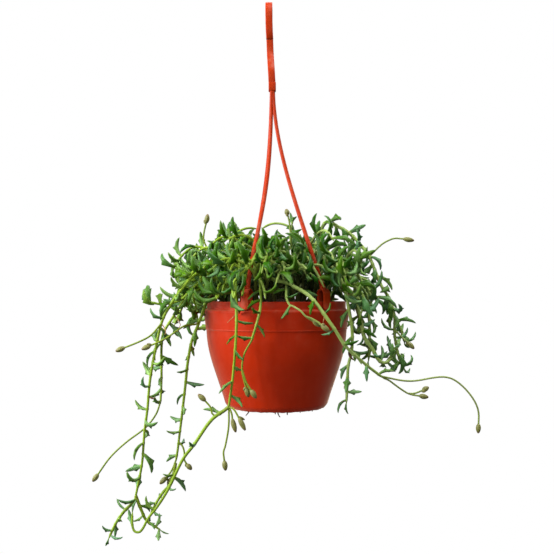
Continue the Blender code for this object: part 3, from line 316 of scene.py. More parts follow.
def make_streaks():
    group, start, end = effect_group("streaks", {"Scale": 220.0, "Stretch": 0.06}, ("Mask",))
    place = add_node(group, "ShaderNodeTexCoord").outputs["Object"]
    squeeze = add_node(group, "ShaderNodeCombineXYZ", {0: 1.0, 1: 1.0, 2: start.outputs["Stretch"]})
    drawn = vector_node(group, "MULTIPLY", place, squeeze.outputs[0])
    lines = noise_at(group, drawn, start.outputs["Scale"], 4.0)
    group.links.new(ranged(group, lines, 0.38, 0.66, 0.0, 1.0), end.inputs["Mask"])
    return group


MOTTLING, DUST, STREAKS = make_mottling(), make_dust(), make_streaks()
print("effect groups:", [group.name for group in (MOTTLING, DUST, STREAKS)])

# %% [markdown]
# Each finish mixes its colours one over the other, by the masks of the effects that it uses. The plastic
# comes first: polypropylene is never quite even, so it is mottled, streaked and a little dusty.

# %% Steps that the finishes share
PLASTIC_SPECULAR = 0.07
SHEEN_ROUGHNESS, SHEEN_TINT = 0.31, (1.0, 0.68, 0.48, 1.0)
DUST_COLOUR = (0.42, 0.22, 0.14)


def effect(tree, group, **values):
    """The masks of an effect that is placed with its own values."""
    node = tree.nodes.new("ShaderNodeGroup")
    node.node_tree = group
    for label, value in values.items():
        node.inputs[label].default_value = value
    return node.outputs


def mixed(tree, mask, first, second):
    """One colour under another: a colour is three numbers or the output of another node."""
    node = add_node(tree, "ShaderNodeMix", data_type="RGBA")
    for socket, value in ((node.inputs[0], mask), (node.inputs[6], first), (node.inputs[7], second)):
        if isinstance(value, bpy.types.NodeSocket):
            tree.links.new(value, socket)
        elif isinstance(value, tuple):
            socket.default_value = (*value, 1.0)
        else:
            socket.default_value = value
    return node.outputs[2]


def attribute(tree, name):
    return add_node(tree, "ShaderNodeAttribute", attribute_name=name).outputs["Fac"]


def finish_with(tree, shader, colour, roughness, height, depth, strength):
    """Puts the colour, the roughness and a bump of the given depth in metres on the shader."""
    tree.links.new(colour, shader.inputs["Base Color"])
    tree.links.new(roughness, shader.inputs["Roughness"])
    bump = add_node(tree, "ShaderNodeBump", {"Height": height, "Distance": depth, "Strength": strength})
    tree.links.new(bump.outputs[0], shader.inputs["Normal"])


def moulded_plastic(name, deep, light, roughness, sheen):
    """Brick-red polypropylene: faintly mottled, with flow streaks and a little dust."""
    finish, tree, shader = start_finish(name, roughness, PLASTIC_SPECULAR)
    shader.inputs["Sheen Weight"].default_value = sheen
    shader.inputs["Sheen Roughness"].default_value = SHEEN_ROUGHNESS
    shader.inputs["Sheen Tint"].default_value = SHEEN_TINT
    mottling = effect(tree, MOTTLING, Scale=26.0, Contrast=0.7)
    streaks = effect(tree, STREAKS, Scale=160.0, Stretch=0.05)
    dust = effect(tree, DUST, Scale=120.0, Amount=0.30)
    colour = mixed(tree, mottling["Mask"], deep, light)
    faded = ranged(tree, streaks[0], 0.0, 1.0, 0.0, 0.07)
    colour = mixed(tree, faded, colour, tuple(min(value * 1.5 + 0.02, 1.0) for value in light))
    colour = mixed(tree, dust[0], colour, DUST_COLOUR)
    rough = ranged(tree, streaks[0], 0.0, 1.0, roughness - 0.05, roughness + 0.09)
    finish_with(tree, shader, colour, rough, mottling["Fine"], 0.00012, 0.5)
    return finish


pot_plastic = moulded_plastic("pot_plastic", (0.310, 0.013, 0.0004), (0.375, 0.018, 0.0005), 0.46, 0.90)
hanger_plastic = moulded_plastic("hanger_plastic", (0.270, 0.017, 0.0004), (0.335, 0.025, 0.0008),
                                 0.44, 0.05)
print("plastics:", pot_plastic.name, hanger_plastic.name)

# %% [markdown]
# The pot is a thin injection moulding: a short collar that the clips grip, a stepped shoulder a little wider
# than the collar, a faint ring where the two halves of the mould met, and a wall that tapers to a narrow
# foot. A turned shape is quickest as a profile with a Screw modifier. The profile here has the rounded lip
# and the small radii that the coarse solid leaves out, and 160 steps make the silhouette smooth.

# %% Pot profile
WALL = 0.0013
POT_STEPS = 160
COLLAR_R = 0.069
COLLAR_H = 0.0066
LIP_R = 0.00075
MOULD_RING_Z = -0.0264
FOOT_R = 0.0482
POT_ROUND, INNER_ROUND = 0.0012, 0.0010
FOOT_RING_R, FOOT_HOLLOW_R, FOOT_HOLLOW = 0.0440, 0.0425, 0.0008
FLOOR_THICKER = 0.0006
# The lip's rounded top: shares of the wall, with shares of the lip's radius
LIP_FORM = ((0.85, 0.6), (0.5, 1.0), (0.15, 0.6))
WALL_ROUND = 0.0040
NICK_FROM_R, NICK_HEIGHT, NICK_DEPTH, NICK_SHARE, NICK_MOST = 0.040, 0.0035, 0.0006, 0.006, 0.4
NICK_SIZE, NICK_FINE_SIZE = 0.0035, 0.0013
SHARP_POT, SHARP_HANGER = math.radians(34), math.radians(50)


def rounded(corners, radius, steps=3):
    """The corners of a profile, each one replaced by a small arc."""
    line = [Vector(corners[0])]
    for before, corner, after in zip(corners, corners[1:], corners[2:]):
        corner = Vector(corner)
        back, on = Vector(before) - corner, Vector(after) - corner
        cut = min(radius, back.length * 0.4, on.length * 0.4)
        start, end = corner + back.normalized() * cut, corner + on.normalized() * cut
        for i in range(steps + 1):
            t = i / steps
            line.append(start * (1 - t) ** 2 + corner * 2 * t * (1 - t) + end * t ** 2)
    return line + [Vector(corners[-1])]


def pot_wall():
    """The wall between the mould's ring and the foot, which bends too gently to show a corner."""
    corners = [(0.0699, MOULD_RING_Z - 0.0006), (0.0693, -0.0360), (0.0680, -0.0450), (0.0660, -0.0535),
               (0.0635, -0.0620), (0.0585, -0.0770), (0.0535, -0.0920), (0.0512, -0.1000)]
    return [(point.x, point.y) for point in rounded(corners, WALL_ROUND, 2)]


def pot_outer():
    """The outer side from the rim to the foot, with the ring that the mould's parting line left."""
    return [(COLLAR_R, 0.0), (COLLAR_R, -COLLAR_H), (0.0726, -0.0082), (0.0704, MOULD_RING_Z + 0.0008),
            (0.0707, MOULD_RING_Z)] + pot_wall() + [(FOOT_R, -POT_HEIGHT)]


def pot_inner():
    """The inner side from the floor to the rim, one wall in from the outer side."""
    return [(0.0476, -POT_HEIGHT + WALL), (0.0489, -0.1000), (0.0513, -0.0920), (0.0627, -0.0600),
            (0.0672, -0.0440), (0.0713, -0.0092), (COLLAR_R - WALL, -0.0077), (COLLAR_R - WALL, 0.0)]


def make_pot():
    hollow = -POT_HEIGHT + FOOT_HOLLOW
    foot = [(FOOT_RING_R, -POT_HEIGHT), (FOOT_HOLLOW_R, hollow), (0.0, hollow)]
    outside = rounded(pot_outer() + foot, POT_ROUND)
    inside = rounded([(0.0, -POT_HEIGHT + WALL + FLOOR_THICKER)] + pot_inner(), INNER_ROUND, 2)
    lip = [(COLLAR_R - WALL * share, LIP_R * rise) for share, rise in LIP_FORM]
    profile = [(point.x, point.y) for point in inside] + lip + [(point.x, point.y) for point in outside]
    pot = turned_mesh("nursery_pot", profile, POT_STEPS)
    for vertex in pot.data.vertices:
        roughen_foot(vertex)
    pot.data.transform(Matrix.Translation((POT_X, 0.0, RIM_Z)))
    return pot


def roughen_foot(vertex):
    """The foot's edge is nicked and a little uneven, as on a pot that has been dragged over a bench."""
    radius = math.hypot(vertex.co.x, vertex.co.y)
    depth = max(0.0, 1.0 - (vertex.co.z + POT_HEIGHT) / NICK_HEIGHT)
    if radius > NICK_FROM_R and depth > 0.0:
        nick = noise.noise(vertex.co / NICK_SIZE) + 0.6 * noise.noise(vertex.co / NICK_FINE_SIZE)
        vertex.co.z += NICK_DEPTH * depth * min(nick, NICK_MOST)
        vertex.co.x *= 1 + NICK_SHARE * depth * nick
        vertex.co.y *= 1 + NICK_SHARE * depth * nick


pot = make_pot()
print("pot", len(pot.data.polygons), "faces")

# %% [markdown]
# Six round drain holes go through the floor, and three slots through the collar take the barbs of the
# clips. A Boolean difference with all the cutters in one collection cuts them in one go.

# %% Drain holes and clip slots
CLIP_ANGLES = (-114.0, -49.0, 116.5)
DRAIN_COUNT, DRAIN_R, DRAIN_RING_R = 6, 0.0040, 0.030
BARB_TOP, BARB_HEIGHT, BARB_WIDTH = -0.0026, 0.0018, 0.0060


def mesh_piece(name, work):
    """A finished bmesh as an object."""
    mesh = bpy.data.meshes.new(name)
    work.to_mesh(mesh)
    work.free()
    return new_object(name, mesh)


def about_axis(radius, angle, height=0.0):
    """The place at a distance and an angle from the pot's axis."""
    return Vector((POT_X + radius * math.cos(angle), radius * math.sin(angle), height))


def add_block(work, spot, angle, size):
    """A block of the given size, turned about the vertical."""
    place = Matrix.Translation(spot) @ Matrix.Rotation(angle, 4, "Z") @ Matrix.Diagonal((*size, 1.0))
    bmesh.ops.create_cube(work, size=1.0, matrix=place)


def cut_holes(piece):
    work = bmesh.new()
    for i in range(DRAIN_COUNT):
        spot = about_axis(DRAIN_RING_R, math.tau * (i + 0.5) / DRAIN_COUNT, RIM_Z - POT_HEIGHT)
        bmesh.ops.create_cone(work, cap_ends=True, segments=24, radius1=DRAIN_R, radius2=DRAIN_R,
                              depth=0.008, matrix=Matrix.Translation(spot))
    height = BARB_HEIGHT + 4 * GAP
    for degrees in CLIP_ANGLES:
        angle = math.radians(degrees)
        spot = about_axis(COLLAR_R - WALL / 2, angle, RIM_Z + BARB_TOP + GAP - height / 2)
        add_block(work, spot, angle, (4 * WALL, BARB_WIDTH + 4 * GAP, height))
    cutters = mesh_piece("cutters", work)
    cut = piece.modifiers.new("holes", "BOOLEAN")
    cut.operation = "DIFFERENCE"
    cut.object = cutters
    cut.solver = "EXACT"
    apply_modifiers(piece)
    bpy.data.objects.remove(cutters, do_unlink=True)


cut_holes(pot)
pot.data.shade_smooth()
pot.data.set_sharp_from_angle(angle=SHARP_POT)
paint(pot, pot_plastic)
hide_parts("pot")
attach(pot, "root")
print("pot with its holes:", len(pot.data.polygons), "faces")

# %% [markdown]
# The hanger is one moulding: a flat hook, a shank with a small collar where the strands begin, three thin
# strands, and a clip on each. The hook and the clips are straps with rounded edges, swept along their paths.
# A strand is a round cross-section that follows a path, which is just what Curve to Mesh does in Geometry
# Nodes. One tree serves the strands, and later the stems and the roots. It takes the path's points from a
# mesh of edges, gives each point its own radius, and ends in a real mesh with its material.

# %% A tree for strands
def node_tree(name, inputs):
    """A Geometry Nodes tree with a geometry input and output and the named inputs."""
    tree = bpy.data.node_groups.new(name, "GeometryNodeTree")
    tree.interface.new_socket("Geometry", in_out="INPUT", socket_type="NodeSocketGeometry")
    tree.interface.new_socket("Geometry", in_out="OUTPUT", socket_type="NodeSocketGeometry")
    for label, (kind, value) in inputs.items():
        socket = tree.interface.new_socket(label, in_out="INPUT", socket_type="NodeSocket" + kind)
        if value is not None:
            socket.default_value = value
    return tree, tree.nodes.new("NodeGroupInput"), tree.nodes.new("NodeGroupOutput")


def named(tree, name, kind="FLOAT"):
    node = add_node(tree, "GeometryNodeInputNamedAttribute", {"Name": name}, data_type=kind)
    return node.outputs["Attribute"]


def run_tree(piece, tree, **values):
    """Runs a tree on a piece as a modifier with its inputs set, and keeps the plain mesh."""
    modifier = piece.modifiers.new(tree.name, "NODES")
    modifier.node_group = tree
    for item in tree.interface.items_tree:
        if item.in_out == "INPUT" and item.name in values:
            modifier[item.identifier] = values[item.name]
    apply_modifiers(piece)
    return piece


def end_tree(tree, start, end, result):
    """The tree's last steps: real geometry, smooth faces and the material."""
    real = add_node(tree, "GeometryNodeRealizeInstances", {0: result})
    smooth = add_node(tree, "GeometryNodeSetShadeSmooth", {0: real.outputs[0]})
    values = {0: smooth.outputs[0], "Material": start.outputs["Material"]}
    painted = add_node(tree, "GeometryNodeSetMaterial", values)
    tree.links.new(painted.outputs[0], end.inputs[0])


def make_tube_tree():
    """A round tube along every path, as thick at each point as its attribute says."""
    tree, start, end = node_tree("tube_along_path", {"Sides": ("Int", 8), "Material": ("Material", None)})
    path = add_node(tree, "GeometryNodeMeshToCurve", {0: start.outputs["Geometry"]})
    ring = add_node(tree, "GeometryNodeCurvePrimitiveCircle",
                    {"Resolution": start.outputs["Sides"], "Radius": 1.0})
    tube = add_node(tree, "GeometryNodeCurveToMesh",
                    {"Curve": path.outputs[0], "Profile Curve": ring.outputs[0],
                     "Scale": named(tree, "thick"), "Fill Caps": True})
    end_tree(tree, start, end, tube.outputs[0])
    return tree


TUBE_TREE = make_tube_tree()
print("tree:", TUBE_TREE.name, "with", len(TUBE_TREE.nodes), "nodes")

# %% [markdown]
# A path is a chain of edges whose points carry a radius. Whatever a tree or a finish needs to know about a
# point, such as its radius, its age or its shade, is kept on the mesh as an attribute, because both can
# read it there by name.

# %% Paths with a thickness
def keep_values(mesh, values):
    """Keeps a number or a vector at each point, by label, for a tree or a finish to read."""
    for label, kept in values.items():
        if isinstance(kept[0], Vector):
            flat = [number for vector in kept for number in vector]
            mesh.attributes.new(label, "FLOAT_VECTOR", "POINT").data.foreach_set("vector", flat)
        else:
            mesh.attributes.new(label, "FLOAT", "POINT").data.foreach_set("value", kept)


def point_piece(name, points, edges, values):
    mesh = bpy.data.meshes.new(name)
    mesh.from_pydata(points, edges, [])
    keep_values(mesh, values)
    return new_object(name, mesh)


def path_piece(name, paths, **extra):
    """A chain of edges for each path of (point, radius) pairs, with the radius kept at each point."""
    edges, first = [], 0
    for path in paths:
        edges += [(i, i + 1) for i in range(first, first + len(path) - 1)]
        first += len(path)
    points = [point for path in paths for point, radius in path]
    radii = [radius for path in paths for point, radius in path]
    return point_piece(name, points, edges, {"thick": radii, **extra})


def tapered(first, last, count):
    return [first + (last - first) * i / (count - 1) for i in range(count)]


def evenly(samples, step):
    """Points along a chain of samples, all about one step apart."""
    lengths = [0.0]
    for before, after in zip(samples, samples[1:]):
        lengths.append(lengths[-1] + (after - before).length)
    count = max(round(lengths[-1] / step), 2)
    result = []
    k = 0
    for i in range(count + 1):
        wanted = lengths[-1] * i / count
        while k < len(lengths) - 2 and lengths[k + 1] < wanted:
            k += 1
        span = max(lengths[k + 1] - lengths[k], 1e-9)
        result.append(samples[k].lerp(samples[k + 1], (wanted - lengths[k]) / span))
    return result


print("three radii, from thick to thin:", tapered(0.002, 0.001, 3))

# %% [markdown]
# The hook is a strap 7 mm wide and 4 mm thick with rounded edges. Its path lies in one upright plane: a half
# circle over the rod, a back limb and an S-bend that brings the shank under the hook's middle. The whole
# hanger leans a little to the right, because the pot has swung that way.

# %% Hook
STRAP_WIDTH, STRAP_THICK = 0.007, 0.004
STRAP_CORNER, CLIP_CORNER, END_SHRINK = 0.0008, 0.0005, 0.8
HOOK_INNER_R = 0.011
HOOK_TIP_Z, BACK_LIMB_Z, SHANK_Z, SHANK_END_Z = -0.036, -0.040, -0.066, -0.080
HOOK_TIP_CAP = 0.0004
CROWN_STEPS, BEND_STEPS = 24, 14
HANGER_LEAN, LEAN_FROM_Z = 0.054, -0.020


def lean_at(height):
    """How far the shank has swung to the right at a height below the hook."""
    return HANGER_LEAN * max(LEAN_FROM_Z - height, 0.0)


def hook_line():
    """The hook's centre line, as depth and height, from the free tip to the strands."""
    radius = HOOK_INNER_R + STRAP_THICK / 2
    line = [Vector((-radius, HOOK_TIP_Z)), Vector((-radius, HOOK_TIP_Z * 0.7))]
    for i in range(CROWN_STEPS + 1):
        angle = math.pi * (1 - i / CROWN_STEPS)
        line.append(Vector((radius * math.cos(angle), -HOOK_INNER_R + radius * math.sin(angle))))
    for i in range(BEND_STEPS + 1):
        share = i / BEND_STEPS
        ease = 3 * share ** 2 - 2 * share ** 3
        line.append(Vector((radius * (1 - ease), BACK_LIMB_Z + share * (SHANK_Z - BACK_LIMB_Z))))
    line += [Vector((0.0, SHANK_END_Z + 0.001)), Vector((0.0, SHANK_END_Z))]
    return line


def bridge(work, rings):
    """Faces between each ring of corners and the next one."""
    for lower, upper in zip(rings, rings[1:]):
        for k in range(len(lower)):
            n = (k + 1) % len(lower)
            work.faces.new((lower[k], lower[n], upper[n], upper[k]))


def swept_strap(work, line, place, width, thickness, corner):
    """A strap with rounded edges along a flat line, where place turns a line point and a width into 3-D."""
    last = len(line) - 1
    section = []
    for sx, sy in ((1, 1), (-1, 1), (-1, -1), (1, -1)):
        for step in range(3):
            turn = math.radians(45 * step)
            a, b = (math.cos(turn), math.sin(turn))
            if sx * sy < 0:
                a, b = b, a
            section.append((sx * (width / 2 - corner + corner * a),
                            sy * (thickness / 2 - corner + corner * b)))
    rings = []
    for i, point in enumerate(line):
        along = (line[min(i + 1, last)] - line[max(i - 1, 0)]).normalized()
        out = Vector((-along.y, along.x))
        shrink = END_SHRINK if i in (0, last) else 1.0
        rings.append([work.verts.new(place(point + out * y * shrink, x * shrink)) for x, y in section])
    bridge(work, rings)
    work.faces.new(rings[0][::-1])
    work.faces.new(rings[-1])


def hook_place(point, across):
    return Vector((lean_at(point.y) + across, point.x, point.y))


work = bmesh.new()
line = hook_line()
tip = line[0] + (line[0] - line[1]).normalized() * HOOK_TIP_CAP
swept_strap(work, [tip] + line, hook_place, STRAP_WIDTH, STRAP_THICK, STRAP_CORNER)
print("hook path of", len(line), "points")

# %% [markdown]
# A clip is a thin strap bent over the collar: a short inner leg, a round arch that leaves a loop to grip,
# and an outer leg with a small flared thumb tab. A barb on its inside snaps into the slot in the collar.

# %% Clips
CLIP_WIDTH, CLIP_THICK = 0.008, 0.0018
CLIP_INNER_R, CLIP_OUTER_R = 0.0626, 0.0715
CLIP_SHOULDER, CLIP_INNER_END = 0.0076, -0.0034
CLIP_TAB_START, CLIP_OUTER_END, CLIP_TAB_FLARE = -0.0042, -0.0066, 0.0016
CLIP_STEPS = 14
TAB_BEND, TAB_BEND_DROP = 0.4, 0.0012


def clip_line():
    """A clip's centre line, as radius and height from the rim."""
    middle = (CLIP_INNER_R + CLIP_OUTER_R) / 2
    reach = (CLIP_OUTER_R - CLIP_INNER_R) / 2
    line = [Vector((CLIP_INNER_R, CLIP_INNER_END))]
    for i in range(CLIP_STEPS + 1):
        angle = math.pi * (1 - i / CLIP_STEPS)
        line.append(Vector((middle + reach * math.cos(angle), CLIP_SHOULDER + reach * math.sin(angle))))
    bend = Vector((CLIP_OUTER_R + CLIP_TAB_FLARE * TAB_BEND, CLIP_TAB_START - TAB_BEND_DROP))
    end = Vector((CLIP_OUTER_R + CLIP_TAB_FLARE, CLIP_OUTER_END))
    return line + [Vector((CLIP_OUTER_R, CLIP_TAB_START)), bend, end]


def outward(angle):
    return Vector((math.cos(angle), math.sin(angle), 0.0))


def add_clip(work, angle):
    out = outward(angle)
    side = Vector((-out.y, out.x, 0.0))
    centre = Vector((POT_X, 0.0, RIM_Z))

    def place(point, across):
        return centre + out * point.x + side * across + UP * point.y

    swept_strap(work, clip_line(), place, CLIP_WIDTH, CLIP_THICK, CLIP_CORNER)
    inner = COLLAR_R - WALL
    spot = centre + out * (CLIP_OUTER_R + inner) / 2 + UP * (BARB_TOP - BARB_HEIGHT / 2)
    add_block(work, spot, angle, (CLIP_OUTER_R - inner, BARB_WIDTH, BARB_HEIGHT))


for degrees in CLIP_ANGLES:
    add_clip(work, math.radians(degrees))
bmesh.ops.recalc_face_normals(work, faces=work.faces)
hanger = mesh_piece("hanger_hook_and_clips", work)
print("clips at", CLIP_ANGLES, "degrees")

# %% [markdown]
# Each strand starts inside the thick end of the shank, hangs straight down at first and then swings out to
# the top of its clip's arch. It is thinner at the top, and it spreads into a small foot where it joins the
# clip. The one at the back bows a little further to the left, so that it shows beside the one in front.

# %% Strands
SHANK_BLOCK, SHANK_ROUND = (0.0074, 0.0070, 0.0090), 0.0009
STRAND_R, STRAND_TOP_R, STRAND_RING_R = 0.0021, 0.00175, 0.0016
STRAND_AIM_DROP, STRAND_AIM_SHARE = 0.040, 0.45
STRAND_DROPS = (0.115, 0.062, 0.115)
STRAND_FOOT, FOOT_SPREAD = 6, 0.35
STRAND_STEPS, STRAND_SIDES = 60, 14
BACK_STRAND, BACK_BOW = 2, 0.0014


def strand_points(which, count=8):
    """A strand from the shank's end to the top of its clip's arch."""
    out = outward(math.radians(CLIP_ANGLES[which]))
    middle = (CLIP_INNER_R + CLIP_OUTER_R) / 2
    arch = (CLIP_OUTER_R - CLIP_INNER_R) / 2
    start = Vector((lean_at(SHANK_END_Z), 0.0, SHANK_END_Z)) + out * STRAND_RING_R
    end = Vector((POT_X, 0.0, RIM_Z + CLIP_SHOULDER + arch)) + out * middle
    first_handle = start - UP * STRAND_DROPS[which]
    aim = start - UP * STRAND_AIM_DROP
    return geometry.interpolate_bezier(start, first_handle, end.lerp(aim, STRAND_AIM_SHARE), end, count)


def strand_path(which):
    points = strand_points(which, STRAND_STEPS)
    if which == BACK_STRAND:
        for i, point in enumerate(points):
            point.x -= BACK_BOW * math.sin(math.pi * i / (len(points) - 1))
    radii = tapered(STRAND_TOP_R, STRAND_R, len(points))
    for i in range(STRAND_FOOT):
        radii[-1 - i] *= 1.0 + FOOT_SPREAD * (1 - i / STRAND_FOOT) ** 2
    return list(zip(points, radii))


strands = path_piece("hanger_strands", [strand_path(i) for i in range(len(CLIP_ANGLES))])
run_tree(strands, TUBE_TREE, Sides=STRAND_SIDES, Material=hanger_plastic)


def shank_block():
    """The shank's thick end, a small rounded block that the strands come out of."""
    work = bmesh.new()
    add_block(work, (lean_at(SHANK_END_Z), 0.0, SHANK_END_Z), 0.0, SHANK_BLOCK)
    bmesh.ops.bevel(work, geom=work.edges[:], offset=SHANK_ROUND, segments=3, affect="EDGES", profile=0.5)
    return mesh_piece("shank_block", work)


def join_pieces(name, parts):
    work = bmesh.new()
    for part in parts:
        work.from_mesh(part.data)
        bpy.data.objects.remove(part, do_unlink=True)
    return mesh_piece(name, work)


hanger = join_pieces("hanger_moulding", [hanger, strands, shank_block()])
paint(hanger, hanger_plastic)
hanger.data.shade_smooth()
hanger.data.set_sharp_from_angle(angle=SHARP_HANGER)
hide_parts("hanger")
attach(hanger, "root")
print("hanger", len(hanger.data.polygons), "faces")

# %% [markdown]
# Potting mix is a heap of fine brown crumbs with bits of bark, a few white grains of perlite and some dry
# roots. All four are dull and blotchy, so one finish serves them with other colours.

# %% Mix finishes
def crumb_finish(name, dark, light, roughness, scale):
    finish, tree, shader = start_finish(name, roughness, 0.3)
    mottling = effect(tree, MOTTLING, Scale=scale, Contrast=1.6)
    colour = mixed(tree, mottling["Mask"], dark, light)
    rough = ranged(tree, mottling["Fine"], 0.3, 0.7, roughness - 0.06, roughness + 0.04)
    finish_with(tree, shader, colour, rough, mottling["Fine"], 0.0006, 0.8)
    return finish


mix_finish = crumb_finish("potting_mix", (0.014, 0.009, 0.006), (0.060, 0.036, 0.022), 0.93, 260.0)
bark_finish = crumb_finish("bark", (0.050, 0.022, 0.010), (0.150, 0.070, 0.032), 0.88, 320.0)
perlite_finish = crumb_finish("perlite", (0.50, 0.48, 0.43), (0.80, 0.79, 0.75), 0.90, 400.0)
root_finish = crumb_finish("dry_root", (0.20, 0.085, 0.030), (0.50, 0.27, 0.11), 0.80, 300.0)
print("mix finishes:", mix_finish.name, bark_finish.name, perlite_finish.name, root_finish.name)

# %% [markdown]
# The mix's body is a solid that fills the pot. Its profile follows the pot's inner side and is turned round,
# and noise then lifts every corner of the top into a mound with lumps and crumbs.

# %% Mix body
SOIL_EDGE_Z, SOIL_MOUND, SOIL_FLAT_R, SOIL_LUMP = -0.0058, 0.0105, 0.060, 0.0011
SOIL_RINGS, SOIL_STEPS = 26, 112
CRUMB_SIZES, CRUMB_DEPTHS = (0.0045, 0.0018), (0.0007, 0.0004)
SAME_HEIGHT = 0.0001


def clamped(value):
    return min(max(value, 0.0), 1.0)


def soil_height(x, y):
    """The mix's top above the rim at a place given from the pot's axis."""
    share = clamped(1.0 - math.hypot(x, y) / SOIL_FLAT_R)
    mound = SOIL_MOUND * (3 * share ** 2 - 2 * share ** 3)
    lump = noise.noise(Vector((x, y, 0.3)) / 0.012)
    return SOIL_EDGE_Z + mound + SOIL_LUMP * lump


def crumbly(x, y):
    """The fine roughness on top of the mound, in metres."""
    place = Vector((x, y, 0.0))
    return sum(depth * noise.noise(place / size) for size, depth in zip(CRUMB_SIZES, CRUMB_DEPTHS))


def make_soil():
    top_r = COLLAR_R - WALL - GAP
    floor = -POT_HEIGHT + WALL + 4 * GAP
    profile = [(top_r * i / SOIL_RINGS, SOIL_EDGE_Z) for i in range(SOIL_RINGS + 1)]
    wall = [(radius - GAP, height) for radius, height in pot_inner()[::-1] if height < SOIL_EDGE_Z]
    profile += wall[:-1] + [(wall[-1][0], floor), (0.0, floor)]
    soil = turned_mesh("mix", profile, SOIL_STEPS)
    for vertex in soil.data.vertices:
        if abs(vertex.co.z - SOIL_EDGE_Z) < SAME_HEIGHT:
            vertex.co.z = soil_height(vertex.co.x, vertex.co.y) + crumbly(vertex.co.x, vertex.co.y)
    soil.data.transform(Matrix.Translation((POT_X, 0.0, RIM_Z)))
    paint(soil, mix_finish)
    return soil


soil = make_soil()
print("mix body", len(soil.data.polygons), "faces")

# %% [markdown]
# One crumb and one chip of bark are modelled, each a small ball with knocked-in corners. A tree scatters
# copies over the top of the mix and gives each its own size and turn. That is far lighter than to model
# every crumb, and a new seed gives a new heap.

# %% Crumbs scattered by a tree
TOP_FACING = 0.3
CRUMB_FORM, CHIP_FORM = (1.0, 0.85, 0.7), (1.0, 0.55, 0.22)
KNOCKED = (0.72, 1.12)


def lump_mesh(name, stretch, seed):
    work = bmesh.new()
    bmesh.ops.create_icosphere(work, subdivisions=1, radius=1.0)
    chance = random.Random(seed)
    for vertex in work.verts:
        vertex.co *= chance.uniform(*KNOCKED)
        vertex.co = Vector((vertex.co.x * stretch[0], vertex.co.y * stretch[1], vertex.co.z * stretch[2]))
    return mesh_piece(name, work)


def make_scatter_tree():
    inputs = {"Crumb": ("Object", None), "Density": ("Float", 20000.0), "Smallest": ("Float", 0.0005),
              "Largest": ("Float", 0.0014), "Seed": ("Int", SEED), "Material": ("Material", None)}
    tree, start, end = node_tree("crumbs_on_surface", inputs)
    given = start.outputs
    spots = add_node(tree, "GeometryNodeDistributePointsOnFaces",
                     {"Mesh": given["Geometry"], "Density": given["Density"], "Seed": given["Seed"]})
    size = add_node(tree, "FunctionNodeRandomValue",
                    {2: given["Smallest"], 3: given["Largest"], "Seed": given["Seed"]}, data_type="FLOAT")
    turn = add_node(tree, "FunctionNodeRandomValue",
                    {0: (0.0, 0.0, 0.0), 1: (math.tau, math.tau, math.tau), "Seed": given["Seed"]},
                    data_type="FLOAT_VECTOR")
    shape = add_node(tree, "GeometryNodeObjectInfo", {"Object": given["Crumb"]})
    placed = add_node(tree, "GeometryNodeInstanceOnPoints",
                      {"Points": spots.outputs["Points"], "Instance": shape.outputs["Geometry"],
                       "Rotation": turn.outputs[0], "Scale": size.outputs[1]})
    end_tree(tree, start, end, placed.outputs[0])
    return tree


SCATTER_TREE = make_scatter_tree()


def soil_top(name, radius):
    """The top of the mix inside a radius, as a piece of its own for the crumbs to lie on."""
    work = bmesh.new()
    work.from_mesh(soil.data)
    gone = [face for face in work.faces if face.normal.z < TOP_FACING
            or math.hypot(face.calc_center_median().x - POT_X, face.calc_center_median().y) > radius]
    bmesh.ops.delete(work, geom=gone, context="FACES")
    return mesh_piece(name, work)


def scatter(name, crumb, finish, density, sizes, seed, radius):
    """Crumbs on the mix inside a radius, so many to the square metre, between the two sizes."""
    return run_tree(soil_top(name, radius), SCATTER_TREE, Crumb=crumb, Density=density, Smallest=sizes[0],
                    Largest=sizes[1], Seed=seed, Material=finish)


crumb = lump_mesh("crumb", CRUMB_FORM, 1)
chip = lump_mesh("chip", CHIP_FORM, 2)
crumbs = scatter("crumbs", crumb, mix_finish, 130000.0, (0.0004, 0.0013), 3, 0.064)
bark = scatter("bark_chips", chip, bark_finish, 9000.0, (0.0010, 0.0032), 4, 0.060)
perlite = scatter("perlite_grains", crumb, perlite_finish, 3200.0, (0.0005, 0.0013), 5, 0.061)
for helper in (crumb, chip):
    bpy.data.objects.remove(helper, do_unlink=True)
for piece in (soil, crumbs, bark, perlite):
    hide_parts("soil")
    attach(piece, "root")
    print(piece.name, len(piece.data.polygons), "faces")

# %% [markdown]
# The shoots come next. On the real plant every shoot is a thin, round, yellow-green stem that climbs a
# little out of the mix and then trails over the rim under its own weight. The ones that show singly were
# drawn as routes, in millimetres to the right of the pot's axis, above the eye's level and towards the
# viewer. The same list stands in the CAD model's source, so that both agree, and the seed and the rules
# below are the same too.

# %% Routes of the shoots that show singly
STEM_R = 0.00135
TIP_R = 0.00085
STALK_R = 0.00070
BUD_LENGTH = 0.0088


def seen(right, up, near):
    """The place of a point drawn as the viewer sees it.

    Right and up are millimetres from the pot's axis and from the eye's level, on a sheet through that axis.
    Near is how many millimetres the real point lies in front of the sheet, along the same line of sight.
    """
    spread = 1.0 - near * MM / EYE_DISTANCE
    eye_z = RIM_Z + EYE_ABOVE_RIM
    return Vector((POT_X + right * MM * spread, -near * MM, eye_z + up * MM * spread))


class Arm:
    """One stem, side shoot or flower stalk of a plant, with what grows on it."""

    def __init__(self, points, parent=None, leaf_gap=0.0, leaf_length=0.0, thick=STEM_R, thin=TIP_R,
                 bud=0.0, every=1, tuft=False):
        self.points, self.parent = points, parent
        self.leaf_gap, self.leaf_length = leaf_gap, leaf_length
        self.thick, self.thin = thick, thin
        self.bud, self.every, self.tuft = bud, every, tuft
        self.fine, self.coarse, self.line = [], [], []


def trailing(route, parent=None, gap=15.0, length=14.0, tuft=True, every=1):
    """A trailing stem with small, well spaced leaves."""
    points = [seen(*spot) for spot in route]
    return Arm(points, parent, gap * MM, length * MM, every=every, tuft=tuft)


